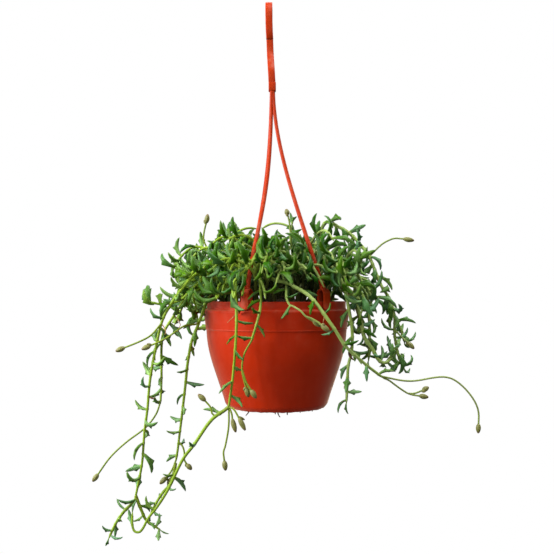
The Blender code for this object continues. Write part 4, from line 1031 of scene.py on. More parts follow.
def stalk(route, parent=0, bud=BUD_LENGTH):
    """A thin bare flower stalk that ends in a closed bud."""
    points = [seen(*spot) for spot in route]
    return Arm(points, parent, thick=STALK_R, thin=STALK_R, bud=bud)


print("the middle of the view is at", seen(0, 0, 0))

# %% [markdown]
# Each traced shoot is a list: its stem first, and then its branches and flower stalks, which say as their
# parent which one of the list they grow from. The gap and the length of the leaves are in millimetres, and
# the frame carries one leaf in every so many.

# %% The traced shoots
TRACED = {
    "stem_left_long": [
        trailing([(-36, 49, 15), (-56, 35, 28), (-71, 28, 36), (-86, 16, 42), (-97, 3, 46), (-106, -10, 48),
            (-114, -25, 49), (-119, -45, 48), (-124, -70, 47), (-127, -90, 46), (-129, -114, 44),
            (-132, -137, 42), (-134, -165, 40), (-137, -183, 38), (-142, -207, 36)], gap=11, length=19,
            tuft=False, every=2),
        trailing([(-142, -207, 36), (-146, -210, 37), (-153, -217, 38), (-160, -227, 39), (-164, -235, 40),
            (-168, -244, 40)], parent=0, gap=9, length=14),
        trailing([(-140, -200, 36), (-134, -217, 35), (-128, -226, 34), (-122, -231, 34), (-116, -235, 34)],
            parent=0, gap=10, length=14),
        stalk([(-114, -28, 49), (-125, -40, 54), (-138, -47, 56), (-153, -53, 56)]),
    ],
    "stem_left_outer": [
        trailing([(-48, 27, 5), (-66, 13, 15), (-82, 3, 22), (-94, -8, 27), (-104, -23, 29),
            (-113, -38, 30), (-115, -53, 30), (-115, -84, 30), (-116, -109, 30)], gap=11, length=18,
            tuft=False, every=2),
        stalk([(-116, -107, 30), (-120, -119, 30), (-128, -130, 29), (-136, -137, 28), (-150, -147, 28),
            (-166, -162, 28), (-179, -180, 28)]),
    ],
    "stem_left_inner": [
        trailing([(-64, -1, 20), (-70, -8, 25), (-74, -18, 30), (-80, -34, 32), (-85, -47, 33),
            (-89, -69, 33), (-91, -89, 33), (-94, -115, 32), (-97, -140, 32), (-99, -156, 31),
            (-101, -168, 30)], gap=12, length=16, tuft=False, every=2),
        trailing([(-101, -167, 30), (-103, -180, 31), (-107, -190, 32), (-114, -198, 33), (-122, -211, 34),
            (-128, -224, 34)], parent=0, gap=13, length=12),
        stalk([(-101, -166, 30), (-105, -176, 30), (-111, -183, 30)]),
        stalk([(-101, -167, 30), (-103, -176, 29), (-106, -184, 28)]),
        stalk([(-98, -148, 32), (-94, -152, 33), (-92, -159, 34), (-92, -166, 34), (-89, -170, 34)],
            bud=0.007),
        stalk([(-78, -26, 31), (-82, -29, 36), (-91, -30, 45), (-100, -36, 52), (-110, -43, 56),
            (-118, -47, 59), (-127, -51, 60)]),
    ],
    "stem_front_left": [
        trailing([(-50, 33, 30), (-46, 15, 48), (-41, 0, 70), (-40, -18, 79), (-40, -35, 81),
            (-42, -66, 79), (-44, -86, 77), (-47, -107, 74), (-48, -115, 73)], gap=14, tuft=False),
        trailing([(-48, -112, 73), (-53, -116, 72), (-62, -122, 71), (-70, -131, 70), (-82, -149, 67),
            (-94, -165, 64), (-107, -192, 60), (-118, -210, 56), (-128, -223, 52), (-134, -234, 50),
            (-140, -238, 49), (-144, -231, 48), (-144, -217, 47)], parent=0, gap=38, length=18),
        stalk([(-48, -113, 73), (-48, -132, 72), (-51, -150, 72), (-53, -157, 72), (-52, -167, 72)]),
        stalk([(-48, -112, 73), (-45, -118, 74), (-44, -125, 74)], bud=0.0125),
        stalk([(-48, -111, 73), (-42, -115, 76), (-37, -124, 77)], bud=0.0125),
        stalk([(-62, -122, 71), (-65, -122, 71), (-65, -115, 71), (-68, -108, 71), (-72, -105, 71)],
            parent=1),
    ],
    "stem_front_middle": [
        trailing([(-32, 30, 26), (-22, 27, 42), (-17, 15, 56), (-16, 3, 70), (-16, -12, 81), (-19, -26, 84),
            (-26, -49, 83)], gap=12, tuft=False),
        stalk([(-26, -47, 83), (-32, -58, 82), (-34, -67, 81), (-34, -78, 80), (-30, -94, 78)]),
        stalk([(-34, -76, 80), (-30, -88, 80), (-25, -96, 80)], parent=1),
    ],
    "stem_front_right": [
        trailing([(-5, 41, 30), (2, 29, 43), (8, 18, 55), (10, 8, 64), (10, -3, 75), (14, -12, 82)], gap=11,
            length=16, tuft=False),
        stalk([(13, -10, 82), (23, -15, 86), (30, -22, 86), (38, -27, 84)]),
        stalk([(30, -22, 86), (38, -25, 87), (46, -31, 87)], parent=1),
    ],
    "stem_right_long": [
        trailing([(-14, 14, 40), (-5, 16, 50), (8, 12, 60), (26, 4, 73), (36, -4, 79), (44, -14, 83),
            (58, -34, 84), (70, -52, 80), (90, -70, 70), (107, -83, 62)], gap=16, length=14, tuft=False),
        stalk([(105, -82, 63), (126, -86, 56), (140, -86, 52), (156, -83, 48), (168, -82, 46),
            (178, -85, 44), (189, -94, 42), (198, -106, 40), (202, -117, 38), (202, -130, 38)]),
        stalk([(107, -83, 62), (112, -85, 60), (123, -93, 56), (133, -99, 52), (144, -101, 50)]),
        stalk([(133, -99, 52), (141, -98, 49), (147, -95, 47)], parent=2, bud=0.007),
    ],
    "stem_right_outer": [
        trailing([(46, 68, -8), (62, 68, -5), (76, 59, 0), (85, 49, 5), (92, 40, 10), (98, 26, 14),
            (105, 9, 18), (113, -4, 20), (118, -21, 20), (118, -38, 18), (120, -51, 16), (123, -64, 14),
            (128, -74, 12)], gap=7, length=20, every=2),
        stalk([(94, 38, 11), (105, 50, 12), (113, 55, 12), (121, 57, 12), (128, 56, 12)], bud=0.0105),
        stalk([(118, -34, 19), (126, -43, 21), (132, -48, 22)]),
    ],
    "stem_right_front": [
        trailing([(24, 45, 18), (40, 42, 28), (50, 35, 38), (60, 23, 46), (66, 12, 51), (70, 0, 55),
            (72, -12, 59), (75, -28, 60), (76, -43, 60), (75, -58, 58), (72, -70, 56), (71, -86, 54),
            (70, -108, 52)], gap=13, length=17),
    ],
    "stem_right_inner": [
        trailing([(32, 33, 8), (46, 29, 18), (58, 18, 26), (70, 6, 32), (80, -8, 35), (84, -24, 36),
            (86, -40, 35)], gap=10, length=19, every=2),
        trailing([(84, -24, 36), (88, -42, 38), (96, -54, 38), (102, -65, 36), (109, -68, 34),
            (115, -62, 32), (118, -54, 31)], parent=0, gap=12, length=15, every=2),
    ],
    "stem_right_middle": [
        trailing([(60, 20, -2), (76, 10, 2), (86, -4, 6), (92, -18, 8), (93, -34, 9), (93, -51, 8),
            (92, -66, 7)], gap=10, length=20, every=2),
    ],
    "stem_right_back": [
        trailing([(60, 18, -22), (76, 12, -24), (90, 2, -26), (104, -8, -28), (116, -20, -27),
            (124, -34, -25), (128, -48, -24)], gap=10, length=19, every=2),
    ],
    "stem_right_low": [
        trailing([(58, 10, -12), (70, 3, -14), (80, -14, -16), (84, -30, -17), (88, -44, -17),
            (96, -54, -16), (103, -65, -16), (109, -68, -16), (116, -58, -16)], gap=12, length=18),
    ],
    "stem_left_bud": [
        trailing([(-50, 20, 4), (-60, 34, 6), (-69, 45, 8), (-82, 48, 6), (-94, 40, 2), (-103, 26, -2)],
            gap=8, length=20, every=2),
        stalk([(-69, 45, 8), (-73, 55, 10), (-72, 65, 11), (-70, 73, 12)]),
    ],
    "stem_centre_bud": [
        trailing([(16, 32, 10), (15, 48, 17), (14, 62, 22), (16, 73, 23)], gap=9, length=14),
        stalk([(14, 62, 22), (13, 72, 25), (11, 81, 26)], bud=0.006),
    ],
    "stem_left_side": [
        trailing([(-62, 18, 34), (-78, 12, 38), (-92, -2, 40), (-104, -8, 40), (-118, -9, 40),
            (-128, -6, 40)], gap=9, length=19, every=2),
    ],
    "stem_left_low": [
        trailing([(-56, 16, 12), (-72, 10, 8), (-88, -2, 6), (-96, -16, 6), (-102, -30, 7)], gap=9,
            length=20, every=2),
    ],
}
print(len(TRACED), "traced shoots")

# %% [markdown]
# A drawn route has only the points that its bends need. A smooth curve through them gives even, closely
# spaced points. The shoots of the mop in the middle can't be told apart in the photograph, so they follow a
# rule instead: each one rises from its own planting spot, arches outwards and droops over the rim, with two
# side shoots, and a seeded draw sets how far, how high and how crooked. The planting spots lie on a golden
# spiral, which spreads any number of them evenly.

# %% Smooth curves and planting spots
ROOT_DEPTH = 0.016
STRAIGHT_LENGTH = ROOT_DEPTH + 0.004
PLANTED_R = 0.056
GOLDEN_ANGLE = math.radians(137.508)
CURVE_PARTS = 10


def curve_through(points, step):
    """Points evenly along a smooth curve through the given points."""
    ends = [2 * points[0] - points[1]] + points + [2 * points[-1] - points[-2]]
    samples = []
    for i in range(1, len(ends) - 2):
        for k in range(CURVE_PARTS):
            t = k / CURVE_PARTS
            a, b, c, d = ends[i - 1], ends[i], ends[i + 1], ends[i + 2]
            cubic = (3 * b - a - 3 * c + d) * t ** 3
            samples.append((2 * b + (c - a) * t + (2 * a - 5 * b + 4 * c - d) * t ** 2 + cubic) / 2)
    samples.append(points[-1].copy())
    return evenly(samples, step)


def root_spots(count):
    return [about_axis(PLANTED_R * math.sqrt((i + 0.5) / count), i * GOLDEN_ANGLE).xy for i in range(count)]


def turned(vector, angle):
    return Matrix.Rotation(angle, 3, "Z") @ vector


def root_bottom(x, y):
    return RIM_Z + soil_height(x - POT_X, y) - ROOT_DEPTH


def root_points(spot):
    """A root's bottom and the place just above the mix where its stem is free to bend."""
    bottom = root_bottom(spot.x, spot.y)
    return [Vector((spot.x, spot.y, bottom)), Vector((spot.x, spot.y, bottom + STRAIGHT_LENGTH))]


SHOOTS = 29
print("planting spots:", len(root_spots(SHOOTS)))

# %% [markdown]
# A shoot of the mop needs no drawing. Seven points give its arch, the first five of them each moved aside
# by a small draw, and two side shoots start from its second and third point.

# %% Shoots of the mop
FINE_STEP = 0.0030
CENTRE_R = 0.008
FACING = 0.52
# How far from the axis and how high above the rim a stem ends, by the side that it faces
FRONT_MOP = ((0.068, 0.082), (0.006, 0.020))
SIDE_MOP = ((0.080, 0.100), (-0.014, 0.004))
BACK_MOP = ((0.080, 0.100), (-0.030, 0.000))
MOP_SWING = 0.45
MOP_HEIGHT = (0.036, 0.062)
MOP_SLOPE = 15.0
MOP_LEAST_SPAN = 0.040
MOP_WOBBLE = 0.007
MOP_HANG = 0.12
# A mop stem's arch: shares of its span with shares of its height
MOP_ARCH = ((0.05, 0.26), (0.18, 0.70), (0.42, 1.00), (0.68, 0.86), (0.88, 0.50))
# A side shoot's arch: shares of its length with shares of its lift
SIDE_ARCH = ((0.00, 0.0), (0.35, 0.8), (0.75, 1.0), (1.10, 1.0))
MOP_LEAF_GAP = 0.0066
MOP_LEAF = 0.023
SIDE_LEAF = 0.021
# The frame carries one leaf in so many, on a mop's stem and on its side shoots
MOP_EVERY, SIDE_EVERY = 7, 6
SIDE_R = 0.0012
SIDE_SWING = (0.7, 1.3)
SIDE_LENGTH = (0.030, 0.044)
SIDE_LIFT = (0.003, 0.013)
SIDE_DROP = (-0.020, 0.000)
FRONT_SHORTER = 0.75
ROOT_PULL = 0.7


def mop_plant(spot, chance):
    """One shoot of the mop with its two side shoots."""
    offset = Vector((spot.x - POT_X, spot.y, 0.0))
    out = offset.normalized()
    if offset.length < CENTRE_R:
        out = turned(Vector((1.0, 0.0, 0.0)), math.tau * chance.random())
    out = turned(out, chance.uniform(-MOP_SWING, MOP_SWING))
    reach, end = FRONT_MOP if -out.y > FACING else BACK_MOP if out.y > FACING else SIDE_MOP
    reach, end = chance.uniform(*reach), chance.uniform(*end)
    height = chance.uniform(*MOP_HEIGHT) * (1.0 - MOP_SLOPE * max(offset.length - PLANTED_R / 2, 0.0))
    span = max(reach - offset.length, MOP_LEAST_SPAN)
    side = Vector((-out.y, out.x, 0.0))
    base = Vector((spot.x, spot.y, RIM_Z))
    points = []
    for share, rise in MOP_ARCH:
        wobble = side * chance.uniform(-MOP_WOBBLE, MOP_WOBBLE)
        points.append(base + out * span * share + wobble + UP * height * rise)
    points.append(base + out * (span + MOP_WOBBLE / 2) + UP * height * MOP_HANG)
    points.append(base + out * span + UP * end)
    arms = [Arm(points, None, MOP_LEAF_GAP, MOP_LEAF, every=MOP_EVERY, tuft=True)]
    for start, sign in ((1, 1), (2, -1)):
        way = turned(out, sign * chance.uniform(*SIDE_SWING))
        first = points[start]
        length = chance.uniform(*SIDE_LENGTH) * (FRONT_SHORTER if -out.y > FACING else 1.0)
        lift = UP * chance.uniform(*SIDE_LIFT)
        drop = UP * chance.uniform(*SIDE_DROP)
        route = [first + way * length * share + lift * rise for share, rise in SIDE_ARCH]
        route[-1] += drop
        arms.append(Arm(route, 0, MOP_LEAF_GAP, SIDE_LEAF, thick=SIDE_R, every=SIDE_EVERY, tuft=True))
    return arms


def plant_all():
    """Every shoot by name, rooted at its own planting spot, with its stems on smooth curves."""
    plants = dict(TRACED)
    spots = root_spots(SHOOTS)
    for arms in plants.values():
        first = arms[0].points[0]
        wanted = Vector((POT_X, 0.0)).lerp(Vector((first.x, first.y)), ROOT_PULL)
        spot = min(spots, key=lambda place: (place - wanted).length)
        spots.remove(spot)
        arms[0].points = root_points(spot) + arms[0].points
    for i, spot in enumerate(spots):
        arms = mop_plant(spot, random.Random(MOP_SEED + i))
        arms[0].points = root_points(spot) + arms[0].points
        plants["stem_mop_%02d" % (i + 1)] = arms
    for arms in plants.values():
        for arm in arms:
            arm.fine = curve_through(arm.points, FINE_STEP)
    return plants


plants = plant_all()
print(len(plants), "shoots as in the frame")

# %% [markdown]
# Stems must not run through each other, through the strands or through the pot. Two stand-ins are simpler to
# keep clear of than the meshes: a profile for the pot, and a row of small balls for the hanger.

# %% Keeping clear of the pot and the hanger
RIM_BAND = -0.004
CLIP_SPOT_SHIFT = 0.0033
CLIP_SPOT_R = 0.0012
SHOULDER_LOOK = 0.7


def pot_solid():
    """The coarse solid's outer side, which the shoots keep clear of."""
    return [(COLLAR_R, 0.0), (COLLAR_R, -COLLAR_H), (0.0726, -0.0082), (0.0703, -0.0294),
            (0.0699, -0.0298), (0.0685, -0.0440), (0.0640, -0.0600), (0.0526, -0.0920),
            (0.0502, -0.1000), (0.0470, -POT_HEIGHT)]


def pot_radius(height):
    """The pot's outer radius at a height below the rim."""
    outer = pot_solid()
    for (r1, z1), (r2, z2) in zip(outer, outer[1:]):
        if z2 <= height <= z1 and z1 > z2:
            return r2 + (r1 - r2) * (height - z2) / (z1 - z2)
    return outer[-1][0]


def off_the_pot(point, clear):
    """The point, moved just far enough to keep the given distance from the pot and the mix."""
    x = point.x - POT_X
    radius = math.hypot(x, point.y)
    height = point.z - RIM_Z
    inside = COLLAR_R - WALL
    if height > clear or height < -POT_HEIGHT - clear:
        return point
    if radius < inside - clear:
        floor = soil_height(x, point.y) + clear
        return Vector((point.x, point.y, RIM_Z + max(height, floor)))
    wall = max(pot_radius(min(height, 0.0)), pot_radius(min(height + clear * SHOULDER_LOOK, 0.0)))
    if radius > wall + clear:
        return point
    if height > RIM_BAND:
        return Vector((point.x, point.y, RIM_Z + clear))
    grow = (wall + clear) / radius
    return Vector((POT_X + x * grow, point.y * grow, point.z))


def hanger_spots():
    """Points with a radius along the strands and clips, for stems and leaves to keep clear of."""
    spots = []
    for which, degrees in enumerate(CLIP_ANGLES):
        angle = math.radians(degrees)
        for point in evenly(strand_points(which), FINE_STEP):
            spots.append((point, STRAND_R))
        out = outward(angle)
        side = Vector((-out.y, out.x, 0.0))
        line = [Vector((spot.x, 0.0, spot.y)) for spot in clip_line()]
        for spot in evenly(line, FINE_STEP):
            for shift in (-CLIP_SPOT_SHIFT, 0.0, CLIP_SPOT_SHIFT):
                place = Vector((POT_X, 0.0, RIM_Z + spot.z)) + out * spot.x + side * shift
                spots.append((place, CLIP_SPOT_R))
    return spots


print("places along the hanger:", len(hanger_spots()))

# %% [markdown]
# The points of all the stems push each other gently apart, some dozens of times over. In each round every
# point finds its neighbours in a KD-tree, which is quick, moves away from those of other shoots, and shares
# its move with the points beside it, so that the stem stays a smooth curve.

# %% Pushing stems apart
STEM_CLEAR = 0.0046
SPREAD_ROUNDS = 60
TRACED_EASE = 0.35
PUSH_SHARE = 0.9
POT_CLEAR = 0.0011
HANGER_CLEAR = 0.0064
LOOK_AROUND = 0.0068
LEAST_HELD, TOUCHING, TIE_BREAK = 0.001, 1e-6, Vector((0.6, 0.0, 0.8))
SMOOTH_ROUNDS = 3


def push_apart(rows, fixed):
    """How far each point is pushed by other shoots and fixed things that are too near."""
    tree = kdtree.KDTree(len(rows) + len(fixed))
    for k, (shoot, arm, i, held) in enumerate(rows):
        tree.insert(arm.fine[i], k)
    for k, (place, need) in enumerate(fixed):
        tree.insert(place, len(rows) + k)
    tree.balance()
    pushes = []
    for shoot, arm, i, held in rows:
        here = arm.fine[i]
        push = Vector((0.0, 0.0, 0.0))
        for place, other, distance in tree.find_range(here, LOOK_AROUND):
            if other < len(rows) and rows[other][0] == shoot:
                continue
            if other < len(rows):
                need = STEM_CLEAR
                share = held / max(held + rows[other][3], LEAST_HELD)
            else:
                need = fixed[other - len(rows)][1]
                share = 1.0
            if distance < need:
                away = (here - place).normalized() if distance > TOUCHING else TIE_BREAK
                push += away * (need - distance) * share
        pushes.append(push)
    return pushes


def smoothed(moves):
    """The moves of one chain, evened out along it so that it stays a smooth curve."""
    for _ in range(SMOOTH_ROUNDS):
        padded = [moves[0]] + moves + [moves[-1]]
        moves = [(padded[i] + padded[i + 1] * 2 + padded[i + 2]) / 4 for i in range(len(moves))]
    return moves


def spread_stems(plants, still=None):
    """Pushes stems of different shoots apart, and off all that stays still."""
    fixed = [(spot[0], HANGER_CLEAR) for spot in hanger_spots()]
    for arms in (still or {}).values():
        fixed += [(point, STEM_CLEAR) for arm in arms for point in arm.fine]
    rows = []
    for shoot, (name, arms) in enumerate(plants.items()):
        ease = TRACED_EASE if name in TRACED else 1.0
        for number, arm in enumerate(arms):
            for i in range(len(arm.fine)):
                held = 0.0 if number == 0 and (i - 1) * FINE_STEP < STRAIGHT_LENGTH else ease
                rows.append((shoot, arm, i, held))
    for _ in range(SPREAD_ROUNDS):
        pushes = push_apart(rows, fixed)
        k = 0
        for arms in plants.values():
            for arm in arms:
                count = len(arm.fine)
                moves = smoothed(pushes[k:k + count])
                for i in range(count):
                    if rows[k + i][3] > 0.0:
                        arm.fine[i] = off_the_pot(arm.fine[i] + moves[i] * PUSH_SHARE, arm.thick + POT_CLEAR)
                k += count
        for arms in plants.values():
            for arm in arms:
                if arm.parent is not None:
                    seat_arm(arm, arms[arm.parent].fine)


def seat_arm(arm, parent_points):
    """Brings an arm's start back onto its parent, and eases the shift away along the arm."""
    start = arm.fine[0]
    spot = min(parent_points, key=lambda point: (point - start).length)
    shift = spot - start
    reach = max(len(arm.fine) // 2, 1)
    for i in range(reach):
        arm.fine[i] = arm.fine[i] + shift * (1 - i / reach)


spread_stems(plants)
print("points pushed apart:", sum(len(arm.fine) for arms in plants.values() for arm in arms))

# %% [markdown]
# The coarse model's stems are straight between a few corners, and its leaves sit on those straight parts.
# To find the same seats, each smooth chain is thinned to the same corners here.

# %% Corners for the leaves to sit on
ROOT_COLLAR = 0.002
STEM_FIT = 0.0011
STEM_LONGEST = 0.034
# Round windows in the front view that the mop leaves open, as right, up and radius, with how near a thing
# has to be to matter: the pot's mouth with both clips first, then the gaps at its sides
OPEN_VIEWS = (
    (-31, -1, 7, 30), (-22, 2, 7, 30), (-11, 5, 7, 30), (1, 2, 7, 30), (13, 2, 7, 30), (25, 3, 7, 30),
    (36, 1, 7, 30), (48, -1, 8, 30), (61, 3, 6, 30), (-7, 14, 6, 30), (7, 13, 6, 30), (21, 14, 6, 30),
    (34, 14, 6, 30), (89, 20, 8, -200), (79, -17, 6, -200), (94, -40, 8, -200), (-111, 39, 8, -200),
    (-99, 49, 9, -200), (-87, 58, 7, -200), (-77, 62, 6, -200), (-98, -21, 7, -200),
)
# How many points a mop stem and its side shoots keep at least when they are cut back
LEAST_MAIN, LEAST_SIDE = 28, 5


def thinned(points, tolerance, longest):
    """The fewest of the points that stay within a tolerance of them all."""
    kept = [points[0]]
    start = 0
    while start < len(points) - 1:
        end = start + 1
        while end + 1 < len(points) and fits(points, start, end + 1, tolerance, longest):
            end += 1
        kept.append(points[end])
        start = end
    return kept


def fits(points, start, end, tolerance, longest):
    chord = points[end] - points[start]
    if chord.length > longest:
        return False
    for i in range(start + 1, end):
        near = geometry.intersect_point_line(points[i], points[start], points[end])[0]
        if (points[i] - near).length > tolerance:
            return False
    return True


def nearest_on(corners, point):
    """The place nearest to a point on a line through the corners."""
    spots = []
    for a, b in zip(corners, corners[1:]):
        spot, share = geometry.intersect_point_line(point, a, b)
        spots.append(a if share < 0 else b if share > 1 else spot)
    return min(spots, key=lambda spot: (spot - point).length)


def in_open_view(place):
    """Whether the viewer sees the place in a window that is to stay open."""
    spread = 1.0 + place.y / EYE_DISTANCE
    right = (place.x - POT_X) / spread / MM
    up = (place.z - RIM_Z - EYE_ABOVE_RIM) / spread / MM
    for x, z, radius, near in OPEN_VIEWS:
        if -place.y / MM > near and math.hypot(right - x, up - z) < radius:
            return True
    return False


def cut_back(arm, least):
    """Shortens a stem that ends in a window that is to stay open."""
    while len(arm.fine) > least and in_open_view(arm.fine[-1]):
        arm.fine.pop()


def settle_stems(plants):
    """Each arm's final corners, with side arms starting inside the stem that they grow from."""
    for name, arms in plants.items():
        for number, arm in enumerate(arms):
            if "mop" in name:
                cut_back(arm, LEAST_SIDE if number else LEAST_MAIN)
            if number == 0:
                root = arm.fine[0]
                collar = root + UP * (ROOT_DEPTH + ROOT_COLLAR)
                free = arm.fine[math.ceil(STRAIGHT_LENGTH / FINE_STEP):]
                arm.coarse = [root] + thinned([collar] + free, STEM_FIT, STEM_LONGEST)
            else:
                start = nearest_on(arms[arm.parent].coarse, arm.fine[0])
                arm.coarse = thinned([start] + arm.fine[1:], STEM_FIT, STEM_LONGEST)


settle_stems(plants)
print("corners left:", sum(len(arm.coarse) for arms in plants.values() for arm in arms))

# %% [markdown]
# A leaf may only grow where it is free. Everything that takes up room, stems, buds and other leaves, is kept
# as small balls in a grid of cells, and a new leaf looks only into the cells round its own balls. It tries
# up to fourteen turns before it gives up its place, much as real leaves twist towards the light. A few round
# windows of the front view stay open too: the mouth of the pot with its clips, and the gaps at its sides.

# %% Room that is taken
BUD_R = 0.0024
SPOT_STEP = 0.0025
LEAF_CLEAR = 0.0005
OWN_LEAF_CLEAR = 0.0002
OWN_STEM_REACH = 0.0075
BUD_CLEAR = 0.0004
SIGHT_REACH = (0.004, 0.060)
SIGHT_STEP = 0.004
SIGHT_R = 0.0012


class Crowd:
    """Round spots that things take up, kept in cells so that a clash is found quickly."""

    CELL = 0.008
    AROUND = tuple(itertools.product((-1, 0, 1), repeat=3))

    def __init__(self):
        self.cells = {}

    def cell(self, place):
        return tuple(math.floor(value / self.CELL) for value in place)

    def add(self, place, radius, owner):
        self.cells.setdefault(self.cell(place), []).append((place, radius, owner))

    def is_free(self, place, radius, shoot, arm, along):
        cx, cy, cz = self.cell(place)
        for dx, dy, dz in self.AROUND:
            for other, size, owner in self.cells.get((cx + dx, cy + dy, cz + dz), ()):
                own = owner[0] == shoot
                if own and owner[1] == arm and abs(owner[2] - along) < OWN_STEM_REACH:
                    continue
                margin = OWN_LEAF_CLEAR if own else LEAF_CLEAR
                if (other - place).length < radius + size + margin:
                    return False
        return True


def sight_spots():
    """Places between the eye and the two front strands, which the leaves leave open."""
    eye = Vector((POT_X, -EYE_DISTANCE, RIM_Z + EYE_ABOVE_RIM))
    first, last = SIGHT_REACH
    steps = round((last - first) / SIGHT_STEP)
    spots = []
    for which, degrees in enumerate(CLIP_ANGLES):
        if degrees < 0:
            for point in evenly(strand_points(which), SIGHT_STEP):
                way = (eye - point).normalized()
                spots += [(point + way * (first + i * SIGHT_STEP), SIGHT_R) for i in range(steps + 1)]
    return spots


def crowd_of_stems(plants):
    crowd = Crowd()
    for place, radius in hanger_spots() + sight_spots():
        crowd.add(place, radius, (-1, -1, 0.0))
    for shoot, arms in enumerate(plants.values()):
        for number, arm in enumerate(arms):
            along = 0.0
            for point in evenly(arm.coarse, SPOT_STEP):
                crowd.add(point, arm.thick, (shoot, number, along))
                along += SPOT_STEP
            if arm.bud:
                middle = arm.coarse[-1] + bud_way(arm) * arm.bud / 2
                crowd.add(middle, BUD_R + BUD_CLEAR, (shoot, number, along))
    return crowd


def bud_way(arm):
    return (arm.coarse[-1] - arm.coarse[-2]).normalized()


print("places on the lines of sight:", len(sight_spots()))

# %% [markdown]
# A leaf is an arc: it leaves its stem one way and bends towards another. Leaves sit along a stem at even
# gaps, each one turned by the golden angle from the one before, so that they shade each other least.

# %% Leaves and their places
POT_LEAF_CLEAR = 0.0006
UNMOVED = 1e-7
VIEW_SHARES = (0.0, 0.4, 0.7, 1.0)
FIRST_LEAF = 0.012
FIRST_ARM_LEAF = 0.010
LAST_LEAF = 0.001
TUFT_REACH = 0.022
TUFT_GAP = 0.55
TIP_SINK = 0.0006
LEAF_TRIES = 14
FULL_SIZE_TRIES = 8
LATE_SIZE = 0.8
TRY_TURN = 0.62
SMALL_LEAF_LENGTH = 0.0185
LEAF_FULL_LENGTH = 0.020
# Round spots that cover a leaf of full length: share of its length and radius, and the same for its two fins
LEAF_SPOTS = ((0.2, 0.0020), (0.4, 0.0023), (0.6, 0.0023), (0.8, 0.0016), (1.0, 0.0006))
FIN_SHARE = 0.42
FIN_REACH = 0.0033
FIN_SPOT_R = 0.0009
LEAF_SIZES = (0.82, 1.12)
LEAF_LEAN = (0.25, 0.75)
LEAF_RISE = 0.12
LEAF_BEND = (math.radians(60), math.radians(150))
SMALL_LEAF_BEND = (math.radians(20), math.radians(85))
BEND_UP = (-0.9, 1.2)
BEND_IN = -0.2
BEND_ASIDE = (-0.6, 0.6)
LEAST_BEND_WAY = 0.1
LEAST_LEVEL = 0.2
# The leaf at a shoot's very tip
TIP_LEAF_SIZE = 0.62
TIP_LEAF_LEAN = 0.9
TIP_LEAF_SPREAD = 0.25


class Leaf:
    """A curved leaf: where it sits, which way it leaves the stem, which way it bends and how far."""

    def __init__(self, base, way, bend_to, length, bend):
        self.base, self.way, self.bend_to = base, way, bend_to
        self.length, self.bend = length, bend
        self.side = way.cross(bend_to)

    def centre(self, share):
        """The place and the direction of the leaf's middle line at a share of its length."""
        turn = self.bend * share
        radius = self.length / max(self.bend, 0.01)
        place = self.base + (self.way * math.sin(turn) + self.bend_to * (1 - math.cos(turn))) * radius
        way = self.way * math.cos(turn) + self.bend_to * math.sin(turn)
        return place, way

    def spots(self):
        """Round spots that cover the leaf, for keeping clear of others."""
        scale = self.length / LEAF_FULL_LENGTH
        result = [(self.centre(share)[0], radius * scale) for share, radius in LEAF_SPOTS]
        fin = self.centre(FIN_SHARE)[0]
        for sign in (-1, 1):
            result.append((fin + self.side * sign * FIN_REACH * scale, FIN_SPOT_R * scale))
        return result


def leaf_sites(arm, number):
    """Where leaves sit on an arm, as distance along it, place, stem direction and rank."""
    if not arm.leaf_gap:
        return
    start = ROOT_DEPTH + FIRST_LEAF if number == 0 else FIRST_ARM_LEAF
    lengths = [(b - a).length for a, b in zip(arm.coarse, arm.coarse[1:])]
    total = sum(lengths)
    rank = 0
    along = start
    while along < total - LAST_LEAF:
        rest = along
        k = 0
        while rest > lengths[k]:
            rest -= lengths[k]
            k += 1
        here = arm.coarse[k].lerp(arm.coarse[k + 1], rest / lengths[k])
        yield along, here, (arm.coarse[k + 1] - arm.coarse[k]).normalized(), rank
        near_tip = arm.tuft and total - along < TUFT_REACH
        along += arm.leaf_gap * (TUFT_GAP if near_tip else 1.0)
        rank += 1
    if arm.tuft:
        way = (arm.coarse[-1] - arm.coarse[-2]).normalized()
        yield total, arm.coarse[-1] - way * TIP_SINK, way, -1


def grow_leaf(crowd, shoot, number, arm, site):
    along, place, stem_way, rank = site
    at_tip = rank < 0
    chance = random.Random(SEED * 1000003 + shoot * 10007 + number * 1009 + rank)
    level = stem_way.cross(UP)
    first = level.normalized() if level.length > LEAST_LEVEL else Vector((1.0, 0.0, 0.0))
    second = first.cross(stem_way).normalized()
    size = arm.leaf_length * (TIP_LEAF_SIZE if at_tip else chance.uniform(*LEAF_SIZES))
    bends = SMALL_LEAF_BEND if arm.leaf_length < SMALL_LEAF_LENGTH else LEAF_BEND
    for attempt in range(LEAF_TRIES):
        turn = rank * GOLDEN_ANGLE + number + attempt * TRY_TURN
        across = first * math.cos(turn) + second * math.sin(turn)
        lean = stem_way * (TIP_LEAF_LEAN if at_tip else chance.uniform(*LEAF_LEAN))
        way = (across * (TIP_LEAF_SPREAD if at_tip else 1.0) + lean + UP * LEAF_RISE).normalized()
        bias = UP * chance.uniform(*BEND_UP) + across * BEND_IN + first * chance.uniform(*BEND_ASIDE)
        bend_to = bias - way * bias.dot(way)
        if bend_to.length < LEAST_BEND_WAY:
            continue
        length = size * (1.0 if attempt < FULL_SIZE_TRIES else LATE_SIZE)
        leaf = Leaf(place, way, bend_to.normalized(), length, chance.uniform(*bends))
        if leaf_is_free(crowd, leaf, shoot, number, along):
            return leaf
    return None


def leaf_is_free(crowd, leaf, shoot, number, along):
    for place, radius in leaf.spots():
        if (off_the_pot(place, radius + POT_LEAF_CLEAR) - place).length > UNMOVED:
            return False
        if not crowd.is_free(place, radius, shoot, number, along):
            return False
    return True


def keeps_views(leaf):
    return not any(in_open_view(leaf.centre(share)[0]) for share in VIEW_SHARES)


